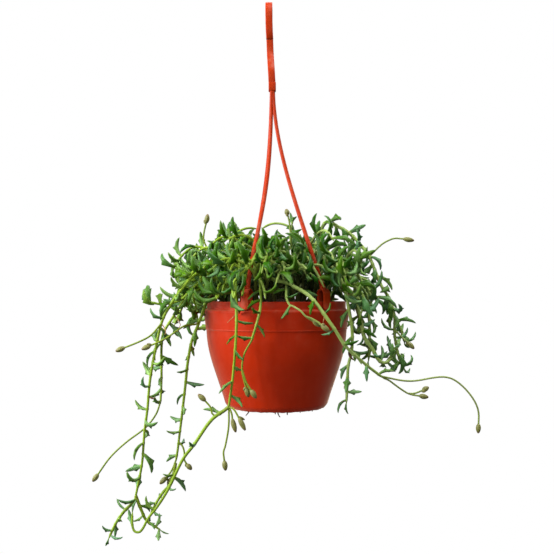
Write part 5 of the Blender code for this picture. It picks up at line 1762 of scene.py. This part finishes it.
def grow_leaves(plants, crowd, wanted):
    """New leaves on the sites that the wanted test picks, as (shoot name, arm, site, leaf)."""
    grown = []
    for shoot, (name, arms) in enumerate(plants.items()):
        for number, arm in enumerate(arms):
            for site in leaf_sites(arm, number):
                if not wanted(arm, site[3]):
                    continue
                leaf = grow_leaf(crowd, shoot, number, arm, site)
                if leaf and (name in TRACED or site[3] < 0 or keeps_views(leaf)):
                    grown.append((name, arm, site, leaf))
                    for place, radius in leaf.spots():
                        crowd.add(place, radius, (shoot, -1, 0.0))
    return grown


arms_in_order = [pair for arms in plants.values() for pair in enumerate(arms)]
print("sites for leaves:", sum(len(list(leaf_sites(arm, number))) for number, arm in arms_in_order))

# %% [markdown]
# The coarse model carries only some of the leaves. Here they are grown first, with the same draws, so they
# come out in the same places. Then the sites that were passed over get their leaves too. Last, twenty-four
# more shoots are planted between the others by the rule, and two drawn ones with them, and all are pushed
# clear of the others to thicken the mop. The two drawn ones arch over its top where everyone sees them.

# %% All the leaves
EXTRA_SHOOTS = 24
EXTRA_SEED = 7100
EXTRA_OWNER = 1000
AIRY_FROM, AIRY_EVERY = 0.058, 3
SPOT_GAP = 0.0048
SEARCH_TRIES, SEARCH_TURN, SEARCH_STEP = 1000, 2.4, 0.0006
ARCH_GAP, ARCH_LEAF = 9.0, 15.0
# The two drawn shoots, in the same measures as the traced ones
ARCHES = (((26, -2, 4), (28, 30, 3), (25, 52, 2), (17, 65, 2), (6, 71, 1), (-6, 71, 0), (-15, 66, -2)),
          ((-44, -2, 2), (-49, 28, 4), (-46, 50, 3), (-38, 63, 2), (-28, 67, 1), (-19, 66, -1)))


def on_frame(arm, rank):
    return rank < 0 or rank % arm.every == 0


def passed_over(arm, rank):
    return not on_frame(arm, rank)


def airy(row):
    """The right flank is more open: there a shoot of the mop keeps two leaves of three."""
    shoot, arm, (along, place, stem_way, rank), leaf = row
    if "mop" not in shoot or leaf.base.x - POT_X < AIRY_FROM:
        return True
    return rank < 0 or rank % AIRY_EVERY != 0


def has_room(spot, taken):
    return min((Vector((place.x, place.y)) - spot).length for place in taken) >= SPOT_GAP


def free_spot(wanted, taken):
    """The planting spot nearest to a place that leaves enough room round it."""
    for i in range(SEARCH_TRIES):
        angle = SEARCH_TURN * i
        spot = wanted + Vector((math.cos(angle), math.sin(angle))) * (SEARCH_STEP * math.sqrt(i))
        if has_room(spot, taken):
            return spot


def plant_extra(extra, arms, spot, taken):
    """Adds one more shoot at its spot, on smooth curves and with every leaf wanted."""
    arms[0].points = root_points(spot) + arms[0].points
    for arm in arms:
        arm.fine = curve_through(arm.points, FINE_STEP)
        arm.every = 1
    taken.append(arms[0].fine[0])
    extra["extra_mop_%02d" % len(extra)] = arms


def extra_shoots():
    """More shoots for the mop, from planting spots between those of the others."""
    extra = {}
    taken = [arms[0].fine[0] for arms in plants.values()]
    chance = random.Random(EXTRA_SEED)
    while len(extra) < EXTRA_SHOOTS:
        angle = math.tau * chance.random()
        spot = about_axis(PLANTED_R * math.sqrt(chance.random()), angle).xy
        if has_room(spot, taken):
            plant_extra(extra, mop_plant(spot, random.Random(EXTRA_SEED + len(extra))), spot, taken)
    for route in ARCHES:
        arch = trailing(route, gap=ARCH_GAP, length=ARCH_LEAF)
        spot = free_spot(arch.points.pop(0).xy, taken)
        plant_extra(extra, [arch], spot, taken)
    return extra


def grow_everything():
    crowd = crowd_of_stems(plants)
    grown = grow_leaves(plants, crowd, on_frame)
    print("leaves as in the frame:", len(grown))
    grown += filter(airy, grow_leaves(plants, crowd, passed_over))
    print("with the sites between them:", len(grown))
    more = extra_shoots()
    spread_stems(more, plants)
    settle_stems(more)
    for shoot, arms in enumerate(more.values()):
        for number, arm in enumerate(arms):
            for place in evenly(arm.coarse, SPOT_STEP):
                crowd.add(place, arm.thick, (shoot + EXTRA_OWNER, number, 0.0))
    grown += filter(airy, grow_leaves(more, crowd, on_frame))
    print("with the extra shoots:", len(grown))
    plants.update(more)
    return grown


leaves = grow_everything()

# %% [markdown]
# A leaf of this plant is a fat little crescent with a point at its tip and a small tooth on either side, so
# that it looks like a leaping dolphin. One straight leaf is modelled, of a few dozen faces: its X is across,
# its Y is through its thickness and its Z is the share of its length. The tree puts a copy on each leaf's
# seat, makes the copies real and then bends every one by its own angle along an arc.

# %% One straight leaf
LEAF_SIDES = 8
LEAF_SLIM = 0.95
LEAF_STRETCH = 1.10
# Rings of a leaf: share of its length, half width, half thickness, and how far the teeth stand out
LEAF_FORM = ((0.00, 0.18, 0.18, 0.0), (0.11, 0.31, 0.29, 0.0), (0.28, 0.39, 0.37, 0.0),
             (0.45, 0.41, 0.40, 0.42), (0.58, 0.39, 0.38, 0.0), (0.76, 0.33, 0.31, 0.0),
             (0.91, 0.19, 0.18, 0.0))
# How much a tooth adds to the half width, takes from the half thickness and moves towards the tip
TOOTH_WIDE, TOOTH_LOW, TOOTH_AHEAD = 0.8, 0.9, 0.12
FLAT_TOP = 0.55


def straight_leaf():
    work = bmesh.new()
    rings = []
    for share, half_width, half_thick, tooth in LEAF_FORM:
        ring = []
        for k in range(LEAF_SIDES):
            angle = math.tau * k / LEAF_SIDES
            across, through = math.cos(angle), math.sin(angle)
            out = tooth if k % 4 == 0 else 0.0
            flat = FLAT_TOP if through > 0 else 1.0
            ring.append(work.verts.new((across * (half_width + TOOTH_WIDE * out),
                                        through * half_thick * flat - TOOTH_LOW * out,
                                        share + TOOTH_AHEAD * out)))
        rings.append(ring)
    bridge(work, rings)
    tip = work.verts.new((0.0, 0.0, 1.0))
    for k in range(LEAF_SIDES):
        work.faces.new((rings[-1][k], rings[-1][(k + 1) % LEAF_SIDES], tip))
    work.faces.new(rings[0][::-1])
    return mesh_piece("straight_leaf", work)


leaf_form = straight_leaf()
print("one leaf has", len(leaf_form.data.polygons), "faces")

# %% [markdown]
# The tree does the bending, because every leaf bends by its own angle. A point at a share of the leaf's
# length turns by that share of the bend, round a centre that lies as far away as the length divided by the
# bend.

# %% The tree that bends leaves
LEAF_FULL_WIDTH = 0.0054


def make_leaf_tree():
    """Bent leaves on points that carry seat, way, bend_to, length and bend."""
    inputs = {"Leaf": ("Object", None), "Full Length": ("Float", LEAF_FULL_LENGTH),
              "Full Width": ("Float", LEAF_SLIM * LEAF_FULL_WIDTH), "Material": ("Material", None)}
    tree, start, end = node_tree("bent_leaves", inputs)
    given = start.outputs

    def times(first, second):
        return math_node(tree, "MULTIPLY", first, second)

    def added(first, second):
        return vector_node(tree, "ADD", first, second)

    def scaled(vector, factor):
        return vector_node(tree, "SCALE", vector, factor)

    shape = add_node(tree, "GeometryNodeObjectInfo", {"Object": given["Leaf"]})
    placed = add_node(tree, "GeometryNodeInstanceOnPoints",
                      {"Points": given["Geometry"], "Instance": shape.outputs["Geometry"]})
    real = add_node(tree, "GeometryNodeRealizeInstances", {0: placed.outputs[0]})
    seat, way, aim = (named(tree, name, "FLOAT_VECTOR") for name in ("seat", "way", "bend_to"))
    length, bend = named(tree, "length"), named(tree, "bend")
    here = add_node(tree, "GeometryNodeInputPosition").outputs[0]
    local = add_node(tree, "ShaderNodeSeparateXYZ", {0: vector_node(tree, "SUBTRACT", here, seat)}).outputs
    turn = times(bend, local["Z"])
    radius = math_node(tree, "DIVIDE", length, bend)
    sine, cosine = math_node(tree, "SINE", turn), math_node(tree, "COSINE", turn)
    fallen = math_node(tree, "SUBTRACT", 1.0, cosine)
    middle = added(seat, added(scaled(way, times(sine, radius)), scaled(aim, times(fallen, radius))))
    heading = added(scaled(way, cosine), scaled(aim, sine))
    side = vector_node(tree, "CROSS_PRODUCT", way, aim)
    up = vector_node(tree, "CROSS_PRODUCT", side, heading)
    width = times(math_node(tree, "DIVIDE", length, given["Full Length"]), given["Full Width"])
    wide = scaled(side, times(local["X"], width))
    thick = scaled(up, times(local["Y"], width))
    place = added(middle, added(wide, thick))
    marked = real.outputs[0]
    for label, axis in (("share", "Z"), ("across", "X"), ("through", "Y")):
        values = {"Geometry": marked, "Name": label, "Value": local[axis]}
        stored = add_node(tree, "GeometryNodeStoreNamedAttribute", values, data_type="FLOAT", domain="POINT")
        marked = stored.outputs[0]
    moved = add_node(tree, "GeometryNodeSetPosition", {"Geometry": marked, "Position": place})
    end_tree(tree, start, end, moved.outputs[0])
    return tree


LEAF_TREE = make_leaf_tree()
print("tree:", LEAF_TREE.name, "with", len(LEAF_TREE.nodes), "nodes")

# %% [markdown]
# The leaves are blue-green and waxy. Their upper side is paler, partly from the waxy coating and partly as
# a painted highlight where light falls on top. A thin darker line runs along the middle where light gets in,
# and the tip and the teeth are a little purple. Old leaves are yellower than young ones, so every leaf
# carries a tone of its own. Painted light makes leaves paler on the lit left and in the open, and painted
# shade darkens those deep inside the mop. These patterns follow the leaf, so they read the values that the
# tree keeps on it, and not its place in space.

# %% Leaf finish
def make_leaf_finish():
    finish, tree, shader = start_finish("leaf_green", 0.42, 0.07)
    shader.inputs["Subsurface Weight"].default_value = 0.10
    shader.inputs["Subsurface Radius"].default_value = (0.35, 0.6, 0.2)
    shader.inputs["Subsurface Scale"].default_value = 0.0015
    mottling = effect(tree, MOTTLING, Scale=110.0, Contrast=0.7)
    share, across, through, tone = (attribute(tree, name) for name in ("share", "across", "through", "tone"))
    deep = mixed(tree, tone, (0.015, 0.070, 0.003), (0.048, 0.122, 0.001))
    pale_colour = mixed(tree, tone, (0.140, 0.292, 0.150), (0.250, 0.390, 0.070))
    # The mask towards the pale colour is waxy coating with mottling, plus painted light: a painted highlight
    # on the upper side, and the painted light kept on each leaf for the lit left and the open.
    waxed = math_node(tree, "ADD", ranged(tree, through, -0.2, 0.3, -0.15, 0.60),
                      ranged(tree, mottling["Mask"], 0.0, 1.0, -0.15, 0.25))
    waxed = math_node(tree, "ADD", waxed, ranged(tree, attribute(tree, "wax"), 0.0, 1.0, -0.12, 0.42))
    colour = mixed(tree, waxed, deep, pale_colour)
    off_middle = math_node(tree, "ABSOLUTE", across)
    line = math_node(tree, "MULTIPLY", ranged(tree, off_middle, 0.02, 0.12, 0.55, 0.0),
                     ranged(tree, through, 0.05, 0.15, 0.0, 1.0))
    colour = mixed(tree, line, colour, (0.016, 0.055, 0.016))
    base = ranged(tree, share, 0.0, 0.22, 0.75, 0.0)
    colour = mixed(tree, base, colour, (0.170, 0.260, 0.030))
    tip = ranged(tree, share, 0.90, 1.0, 0.0, 0.75)
    teeth = ranged(tree, off_middle, 0.48, 0.72, 0.0, 0.4)
    colour = mixed(tree, math_node(tree, "MAXIMUM", tip, teeth), colour, (0.085, 0.070, 0.035))
    # Painted shade: leaves deep inside the mop are darkened almost to black-green, as the leaves round them
    # would shade them.
    painted_shade = ranged(tree, attribute(tree, "shade"), 0.0, 1.0, 0.0, 0.78)
    colour = mixed(tree, painted_shade, colour, (0.008, 0.016, 0.003))
    rough = ranged(tree, waxed, 0.0, 1.0, 0.32, 0.50)
    finish_with(tree, shader, colour, rough, mottling["Fine"], 0.00005, 0.3)
    return finish


leaf_finish = make_leaf_finish()
print("leaf finish has", len(leaf_finish.node_tree.nodes), "nodes")

# %% [markdown]
# The leaves go into five pieces by where they show, so that each piece stands for its own shoots of the
# CAD model. Every leaf also gets from its place a tone, a painted shade and a value for its waxy coating and
# painted light: painted dark deep inside the mop, yellower and painted lighter on the lit left, and painted
# lighter wherever it hangs in the open.

# %% Where each shoot shows
GROUPS = {"left": ("stem_left",), "front": ("stem_front", "stem_centre"), "right": ("stem_right",),
          "crown": ("stem_mop",), "heart": ("extra_mop",)}
# The mop as a dome over the pot, for its painted shade: its radius, rise and foot below the rim, and how
# fast the painted shade gets dark inside
MOP_R, MOP_RISE, MOP_BELOW, MOP_SKIN, MOP_FADE = 0.085, 0.075, 0.005, 0.75, 0.45
# How far along a leaf its painted shade is read
SHADE_AT = 0.6
# Where leaves get yellower and are painted lighter, as on the lit side: from and to which distance left of
# the axis and above the rim, and where they are only painted lighter, as in the open: right of the axis or
# below the rim
LEFT_FROM_TO, LEFT_UP_FROM_TO = (0.03, 0.08), (-0.06, -0.02)
OPEN_FROM_TO, OPEN_DOWN_FROM_TO = (0.055, 0.085), (0.03, 0.07)
TONE, TONE_LEFT, TONE_SPREAD = 0.30, 0.32, 0.28
# How waxy a leaf is at random, the painted light added in the open and on the lit left, and the spread
WAX, PAINTED_LIGHT_OPEN, PAINTED_LIGHT_LEFT, WAX_SPREAD = 0.30, 0.55, 0.40, 0.18
LINE_STEP = 0.0015


def group_of(name):
    return next(group for group, starts in GROUPS.items() if name.startswith(starts))


def nodes_of(group):
    """The CAD nodes that a group's pieces stand for."""
    starts = GROUPS["crown"] if group == "heart" else GROUPS[group]
    return [name for name in frame["nodes"] if name.startswith(starts)]


def smooth_line(arm):
    """An arm's centre line with points close enough for a leaf to sit on any of them."""
    if not arm.line:
        corners = arm.fine[:1] + arm.fine[2:-2:2] + arm.fine[-1:]
        arm.line = evenly(curve_through(corners, LINE_STEP), LINE_STEP)
    return arm.line


def seat_on(arm, leaf):
    """The leaf's seat, moved onto the smooth stem."""
    return min(smooth_line(arm), key=lambda point: (point - leaf.base).length_squared)


def painted_shade_at(place):
    """How deep inside the mop a place is, from 0 on its outside to 1 in its heart, which sets its painted
    shade.
    """
    out = math.hypot(place.x - POT_X, place.y) / MOP_R
    rise = (place.z - RIM_Z + MOP_BELOW) / MOP_RISE
    return clamped((MOP_SKIN - out ** 2 - rise ** 2) / MOP_FADE)


def share_of(value, low, high):
    """How far a value is from low to high, as 0 to 1."""
    return clamped((value - low) / (high - low))


def leaf_points(name, rows):
    """A point for every (seat, way, bend_to, length, bend), with all that its leaf and finish need."""
    chance = random.Random(SEED)
    seats, ways, aims, lengths, bends = map(list, zip(*rows))
    leftness = [share_of(POT_X - seat.x, *LEFT_FROM_TO) for seat in seats]
    leftness = [left * share_of(seat.z - RIM_Z, *LEFT_UP_FROM_TO) for left, seat in zip(leftness, seats)]
    openness = [max(share_of(seat.x - POT_X, *OPEN_FROM_TO), share_of(RIM_Z - seat.z, *OPEN_DOWN_FROM_TO))
                for seat in seats]
    tones = [clamped(chance.gauss(TONE + TONE_LEFT * left, TONE_SPREAD)) for left in leftness]
    # Waxy coating at random, with painted light added: paler on the lit left and in the open
    waxes = [clamped(chance.gauss(WAX + PAINTED_LIGHT_OPEN * open_air + PAINTED_LIGHT_LEFT * left, WAX_SPREAD))
             for open_air, left in zip(openness, leftness)]
    painted_shades = [painted_shade_at(seat + SHADE_AT * length * way) for seat, length, way in zip(seats, lengths, ways)]
    values = {"seat": seats, "way": ways, "bend_to": aims, "length": lengths, "bend": bends,
              "tone": tones, "shade": painted_shades, "wax": waxes}
    return point_piece(name, seats, [], values)


def finish_piece(piece, group):
    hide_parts(*nodes_of(group))
    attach(piece, "root")


for group in GROUPS:
    grown = [(arm, leaf) for shoot, arm, site, leaf in leaves if group_of(shoot) == group]
    rows = [(seat_on(arm, leaf), leaf.way, leaf.bend_to, LEAF_STRETCH * leaf.length, leaf.bend)
            for arm, leaf in grown]
    piece = leaf_points("leaves_" + group, rows)
    run_tree(piece, LEAF_TREE, Leaf=leaf_form, Material=leaf_finish)
    finish_piece(piece, group)
    print(piece.name, len(rows), "leaves", len(piece.data.polygons), "faces")

# %% [markdown]
# The stems are tubes along the same smooth lines, from the tube tree that made the strands. Each one swells
# a little where a leaf sits, as a real node does, and gets thinner towards its tip. The finish runs from
# yellow-green on the left to a paler sage on the right, partly waxy coating and partly painted light, and to
# a woody brown near the mix. Deep inside the mop it is darkened with painted shade.

# %% Stem finish
def make_stem_finish():
    finish, tree, shader = start_finish("stem_green", 0.48, 0.14)
    mottling = effect(tree, MOTTLING, Scale=60.0, Contrast=0.9)
    age = attribute(tree, "age")
    fresh = mixed(tree, mottling["Mask"], (0.128, 0.215, 0.009), (0.208, 0.312, 0.024))
    sage = mixed(tree, mottling["Mask"], (0.175, 0.260, 0.040), (0.265, 0.355, 0.110))
    # Sage towards the right: partly waxy coating, partly painted light that makes the right-hand stems paler
    young = mixed(tree, attribute(tree, "wax"), fresh, sage)
    old = mixed(tree, mottling["Mask"], (0.070, 0.072, 0.014), (0.140, 0.115, 0.030))
    colour = mixed(tree, age, young, old)
    # Painted shade: stems deep inside the mop are darkened, as the leaves round them would shade them
    painted_shade = ranged(tree, attribute(tree, "shade"), 0.0, 1.0, 0.0, 0.75)
    colour = mixed(tree, painted_shade, colour, (0.010, 0.012, 0.003))
    rough = ranged(tree, mottling["Fine"], 0.3, 0.7, 0.40, 0.56)
    finish_with(tree, shader, colour, rough, mottling["Fine"], 0.00006, 0.3)
    return finish


stem_finish = make_stem_finish()
STEM_SIDES = 7
NODE_SWELL = 0.22
NODE_REACH = 0.0016
STEM_FULLNESS, RIGHT_FULLNESS, STALK_FULLNESS = 1.28, 1.55, 1.25
TIP_SHARES = (0.35, 0.6, 0.8, 0.93)
# How brown a stem starts on its root and on its side arms, the least on a stalk, and how fast it greens
AGE_ROOT, AGE_SIDE, AGE_STALK, AGE_STEP = 1.4, 0.4, 0.3, 0.035
# From and to which distance right of the axis the stems turn sage and are painted lighter
SAGE_FROM_TO = (-0.03, 0.02)


def stem_path(arm, seats, fullness):
    """An arm's line with its radius at each point, thicker at every leaf."""
    line = smooth_line(arm)
    full = fullness if arm.bud == 0.0 else STALK_FULLNESS
    radii = tapered(arm.thick * full, arm.thin * full, len(line))
    if not arm.bud:
        for i, share in enumerate(TIP_SHARES):
            radii[-1 - i] *= share
    for seat in seats:
        for i, point in enumerate(line):
            near = (point - seat).length
            if near < NODE_REACH:
                radii[i] = max(radii[i], radii[i] * (1 + NODE_SWELL * (1 - near / NODE_REACH)))
    return list(zip(line, radii))


def stems_of(group):
    """The paths of all the arms in a group, and how old the stem is at each of their points."""
    paths, ages = [], []
    for shoot, arms in plants.items():
        if group_of(shoot) != group:
            continue
        for number, arm in enumerate(arms):
            seats = [seat_on(arm, row[3]) for row in leaves if row[1] is arm]
            path = stem_path(arm, seats, RIGHT_FULLNESS if group == "right" else STEM_FULLNESS)
            paths.append(path)
            start = AGE_SIDE if number else AGE_ROOT
            least = AGE_STALK if number and arm.bud else 0.0
            ages += [min(max(start - AGE_STEP * i, least), 1.0) for i in range(len(path))]
    return paths, ages


for group in GROUPS:
    paths, ages = stems_of(group)
    # Painted shade deep inside the mop and painted light towards the right, kept at every point of the stems
    painted_shades = [painted_shade_at(point) for path in paths for point, radius in path]
    waxes = [share_of(point.x - POT_X, *SAGE_FROM_TO) for path in paths for point, radius in path]
    piece = path_piece("stems_" + group, paths, age=ages, shade=painted_shades, wax=waxes)
    run_tree(piece, TUBE_TREE, Sides=STEM_SIDES, Material=stem_finish)
    finish_piece(piece, group)
    print(piece.name, len(paths), "arms", len(piece.data.polygons), "faces")

# %% [markdown]
# The flower buds are still closed: slim green eggs, most of them about nine millimetres long, held by a ring
# of narrow sepals with brown edges and tips. They often come in twos, a big one and a small one beside it.

# %% Bud finish and form
def make_bud_finish():
    finish, tree, shader = start_finish("bud_olive", 0.55, 0.4)
    mottling = effect(tree, MOTTLING, Scale=300.0, Contrast=1.0)
    share, rib = attribute(tree, "share"), attribute(tree, "rib")
    green = mixed(tree, mottling["Mask"], (0.120, 0.150, 0.028), (0.230, 0.250, 0.060))
    colour = mixed(tree, ranged(tree, rib, 0.2, 1.0, 0.55, 0.0), green, (0.085, 0.050, 0.016))
    colour = mixed(tree, ranged(tree, share, 0.72, 1.0, 0.0, 0.85), colour, (0.120, 0.055, 0.018))
    rough = ranged(tree, mottling["Fine"], 0.3, 0.7, 0.48, 0.62)
    finish_with(tree, shader, colour, rough, mottling["Fine"], 0.00010, 0.4)
    return finish


bud_finish = make_bud_finish()
BUD_SIDES, BUD_RINGS, SEPALS = 24, 11, 8
BUD_SWELL, BUD_LEAST, BUD_EASE = (0.86, 0.09), 0.10, 0.62
BUD_TAPER = (1.06, 0.16)
RIB_FORM = (0.90, 0.16)


def rib_at(angle):
    """How far a place round the bud is from the gap between two sepals, as 0 to 1."""
    return 0.5 + 0.5 * math.cos(angle * SEPALS)


def straight_bud():
    """A bud one unit long and one unit in radius, with sepals, standing on its base."""
    work = bmesh.new()
    rings = []
    for i in range(BUD_RINGS):
        share = i / (BUD_RINGS - 1)
        full = math.sin(math.pi * min(share * BUD_SWELL[0] + BUD_SWELL[1], 1.0)) ** BUD_EASE
        swell = max(full, BUD_LEAST) * (BUD_TAPER[0] - BUD_TAPER[1] * share)
        ring = []
        for k in range(BUD_SIDES):
            angle = math.tau * k / BUD_SIDES
            radius = swell * (RIB_FORM[0] + RIB_FORM[1] * rib_at(angle))
            ring.append(work.verts.new((math.cos(angle) * radius, math.sin(angle) * radius, share)))
        rings.append(ring)
    bridge(work, rings)
    work.faces.new(rings[0][::-1])
    work.faces.new(rings[-1])
    piece = mesh_piece("straight_bud", work)
    corners = [vertex.co for vertex in piece.data.vertices]
    keep_values(piece.data, {"share": [corner.z for corner in corners],
                             "rib": [rib_at(math.atan2(corner.y, corner.x)) for corner in corners]})
    return piece


bud_form = straight_bud()


def make_bud_tree():
    """Buds on points that carry way and size."""
    tree, start, end = node_tree("buds_on_points", {"Bud": ("Object", None), "Material": ("Material", None)})
    shape = add_node(tree, "GeometryNodeObjectInfo", {"Object": start.outputs["Bud"]})
    turn = add_node(tree, "FunctionNodeAlignRotationToVector",
                    {"Vector": named(tree, "way", "FLOAT_VECTOR")}, axis="Z")
    placed = add_node(tree, "GeometryNodeInstanceOnPoints",
                      {"Points": start.outputs["Geometry"], "Instance": shape.outputs["Geometry"],
                       "Rotation": turn.outputs[0], "Scale": named(tree, "size", "FLOAT_VECTOR")})
    end_tree(tree, start, end, placed.outputs[0])
    return tree


BUD_TREE = make_bud_tree()
print("one bud has", len(bud_form.data.polygons), "faces")

# %% [markdown]
# A bud sits at the end of each stalk and points along it. Most of them have a smaller twin beside them,
# which leans away.

# %% Buds on their stalks
TWIN_CHANCE, TWIN_LEAN, TWIN_SIZES = 0.6, 0.9, (0.45, 0.7)
BUD_SUNK, TWIN_SUNK = 0.001, 0.0022


def buds_of(group):
    """Where the buds sit, which way they point and how big they are."""
    rows = []
    chance = random.Random(SEED + 5)
    own = [arms for shoot, arms in plants.items() if group_of(shoot) == group]
    for arm in (arm for arms in own for arm in arms if arm.bud):
        way = bud_way(arm)
        end = smooth_line(arm)[-1]
        size = Vector((BUD_R, BUD_R, arm.bud))
        rows.append((end - way * BUD_SUNK, way, size))
        if chance.random() < TWIN_CHANCE:
            side = way.orthogonal().normalized()
            side.rotate(Matrix.Rotation(math.tau * chance.random(), 3, way))
            lean = (way + side * TWIN_LEAN).normalized()
            rows.append((end - way * TWIN_SUNK, lean, size * chance.uniform(*TWIN_SIZES)))
    return rows


for group in GROUPS:
    rows = buds_of(group)
    if not rows:
        continue
    seats, ways, sizes = map(list, zip(*rows))
    piece = point_piece("buds_" + group, seats, [], {"way": ways, "size": sizes})
    run_tree(piece, BUD_TREE, Bud=bud_form, Material=bud_finish)
    finish_piece(piece, group)
    print(piece.name, len(rows), "buds", len(piece.data.polygons), "faces")
bpy.data.objects.remove(bud_form, do_unlink=True)

# %% [markdown]
# Small dead things make a plant look lived with: thin dry roots that hang from a node or out of a drain
# hole, and a few withered leaves. Their places are given the same way as the routes of the stems, and each
# one moves to the nearest stem, so that nothing hangs in the air.

# %% Dry roots and withered leaves
ROOT_STEP = 0.0012
# Where a root hangs, as right, up and near, with the way it sets off and its length
ROOTS = ((-40, -17, 79, -0.8, 13), (-103, -20, 29, 0.5, 20), (66, 10, 51, -0.6, 15), (48, -19, 83, -0.5, 9),
         (71, -86, 54, -0.8, 8), (-114, -28, 49, 0.3, 12), (96, 20, 14, 0.4, 11), (-89, -69, 33, 0.6, 6))
# Where a withered leaf sits, with the way it points to the right and up, its length and its bend
WITHERED = ((74, -52, 59, -0.9, -0.9, 13, 1.5), (74, -56, 59, -0.7, -1.0, 11, 2.1),
            (70, -106, 52, -1.0, 0.1, 8, 0.7), (-68, -4, 22, 0.9, 0.6, 11, 1.2),
            (-128, -100, 46, 0.4, -1.0, 9, 1.8))
# Where a root comes out under the foot, as an angle and a distance from the axis, with its length
FOOT_ROOTS = ((212, 31, 9), (216, 30, 6), (271, 30, 8), (268, 31, 5), (283, 45, 3), (300, 45, 2.5),
              (330, 40, 3))
ROOT_THICK, ROOT_THIN, FOOT_FULLER = 0.00058, 0.00026, 1.6
ROOT_SIDES = 5
ROOT_START_UP = 0.001
WANDER, WANDER_DEEP, WANDER_DOWN, FIRST_WANDER = 0.45, 0.3, -0.08, 0.2
WITHERED_SWAY = 0.3
DEPTH_WEIGHT = 0.1


def on_stem(right, up, near):
    """The stem point that is nearest to a place, above all as it is seen from the front."""
    wanted = seen(right, up, near)
    lines = [smooth_line(arm) for name, arms in plants.items() if name in TRACED for arm in arms]

    def distance(point):
        across = (point.x - wanted.x) ** 2 + (point.z - wanted.z) ** 2
        return across + DEPTH_WEIGHT * (point.y - wanted.y) ** 2

    return min((point for line in lines for point in line), key=distance)


def hanging_root(start, slant, length, chance):
    """A thin root that wanders down from its start and gets thinner."""
    line = [start.copy()]
    way = Vector((slant, chance.uniform(-FIRST_WANDER, FIRST_WANDER), -1.0)).normalized()
    for _ in range(max(round(length * MM / ROOT_STEP), 2)):
        aside, deep = chance.uniform(-WANDER, WANDER), chance.uniform(-WANDER_DEEP, WANDER_DEEP)
        way = (way + Vector((aside, deep, WANDER_DOWN))).normalized()
        line.append(line[-1] + way * ROOT_STEP)
    return list(zip(line, tapered(ROOT_THICK, ROOT_THIN, len(line))))


chance = random.Random(SEED + 9)
paths = [hanging_root(on_stem(*place), slant, length, chance) for *place, slant, length in ROOTS]
roots = path_piece("dry_roots", paths)
run_tree(roots, TUBE_TREE, Sides=ROOT_SIDES, Material=root_finish)
paths = []
for degrees, distance, length in FOOT_ROOTS:
    start = about_axis(distance * MM, math.radians(degrees), RIM_Z - POT_HEIGHT + ROOT_START_UP)
    paths.append([(point, FOOT_FULLER * radius)
                  for point, radius in hanging_root(start, 0.0, length, chance)])
foot_roots = path_piece("foot_roots", paths)
run_tree(foot_roots, TUBE_TREE, Sides=ROOT_SIDES, Material=bark_finish)
rows = []
for *place, aside, upward, length, bend in WITHERED:
    way = Vector((aside, chance.uniform(-WITHERED_SWAY, WITHERED_SWAY), upward)).normalized()
    bend_to = way.cross(Vector((0.0, 1.0, 0.0))).normalized()
    rows.append((on_stem(*place), way, bend_to, length * MM, bend))
withered = leaf_points("withered_leaves", rows)
run_tree(withered, LEAF_TREE, Leaf=leaf_form, Material=bark_finish)
bpy.data.objects.remove(leaf_form, do_unlink=True)
for piece in (roots, foot_roots, withered):
    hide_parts("soil")
    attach(piece, "root")
    print(piece.name, len(piece.data.polygons), "faces")
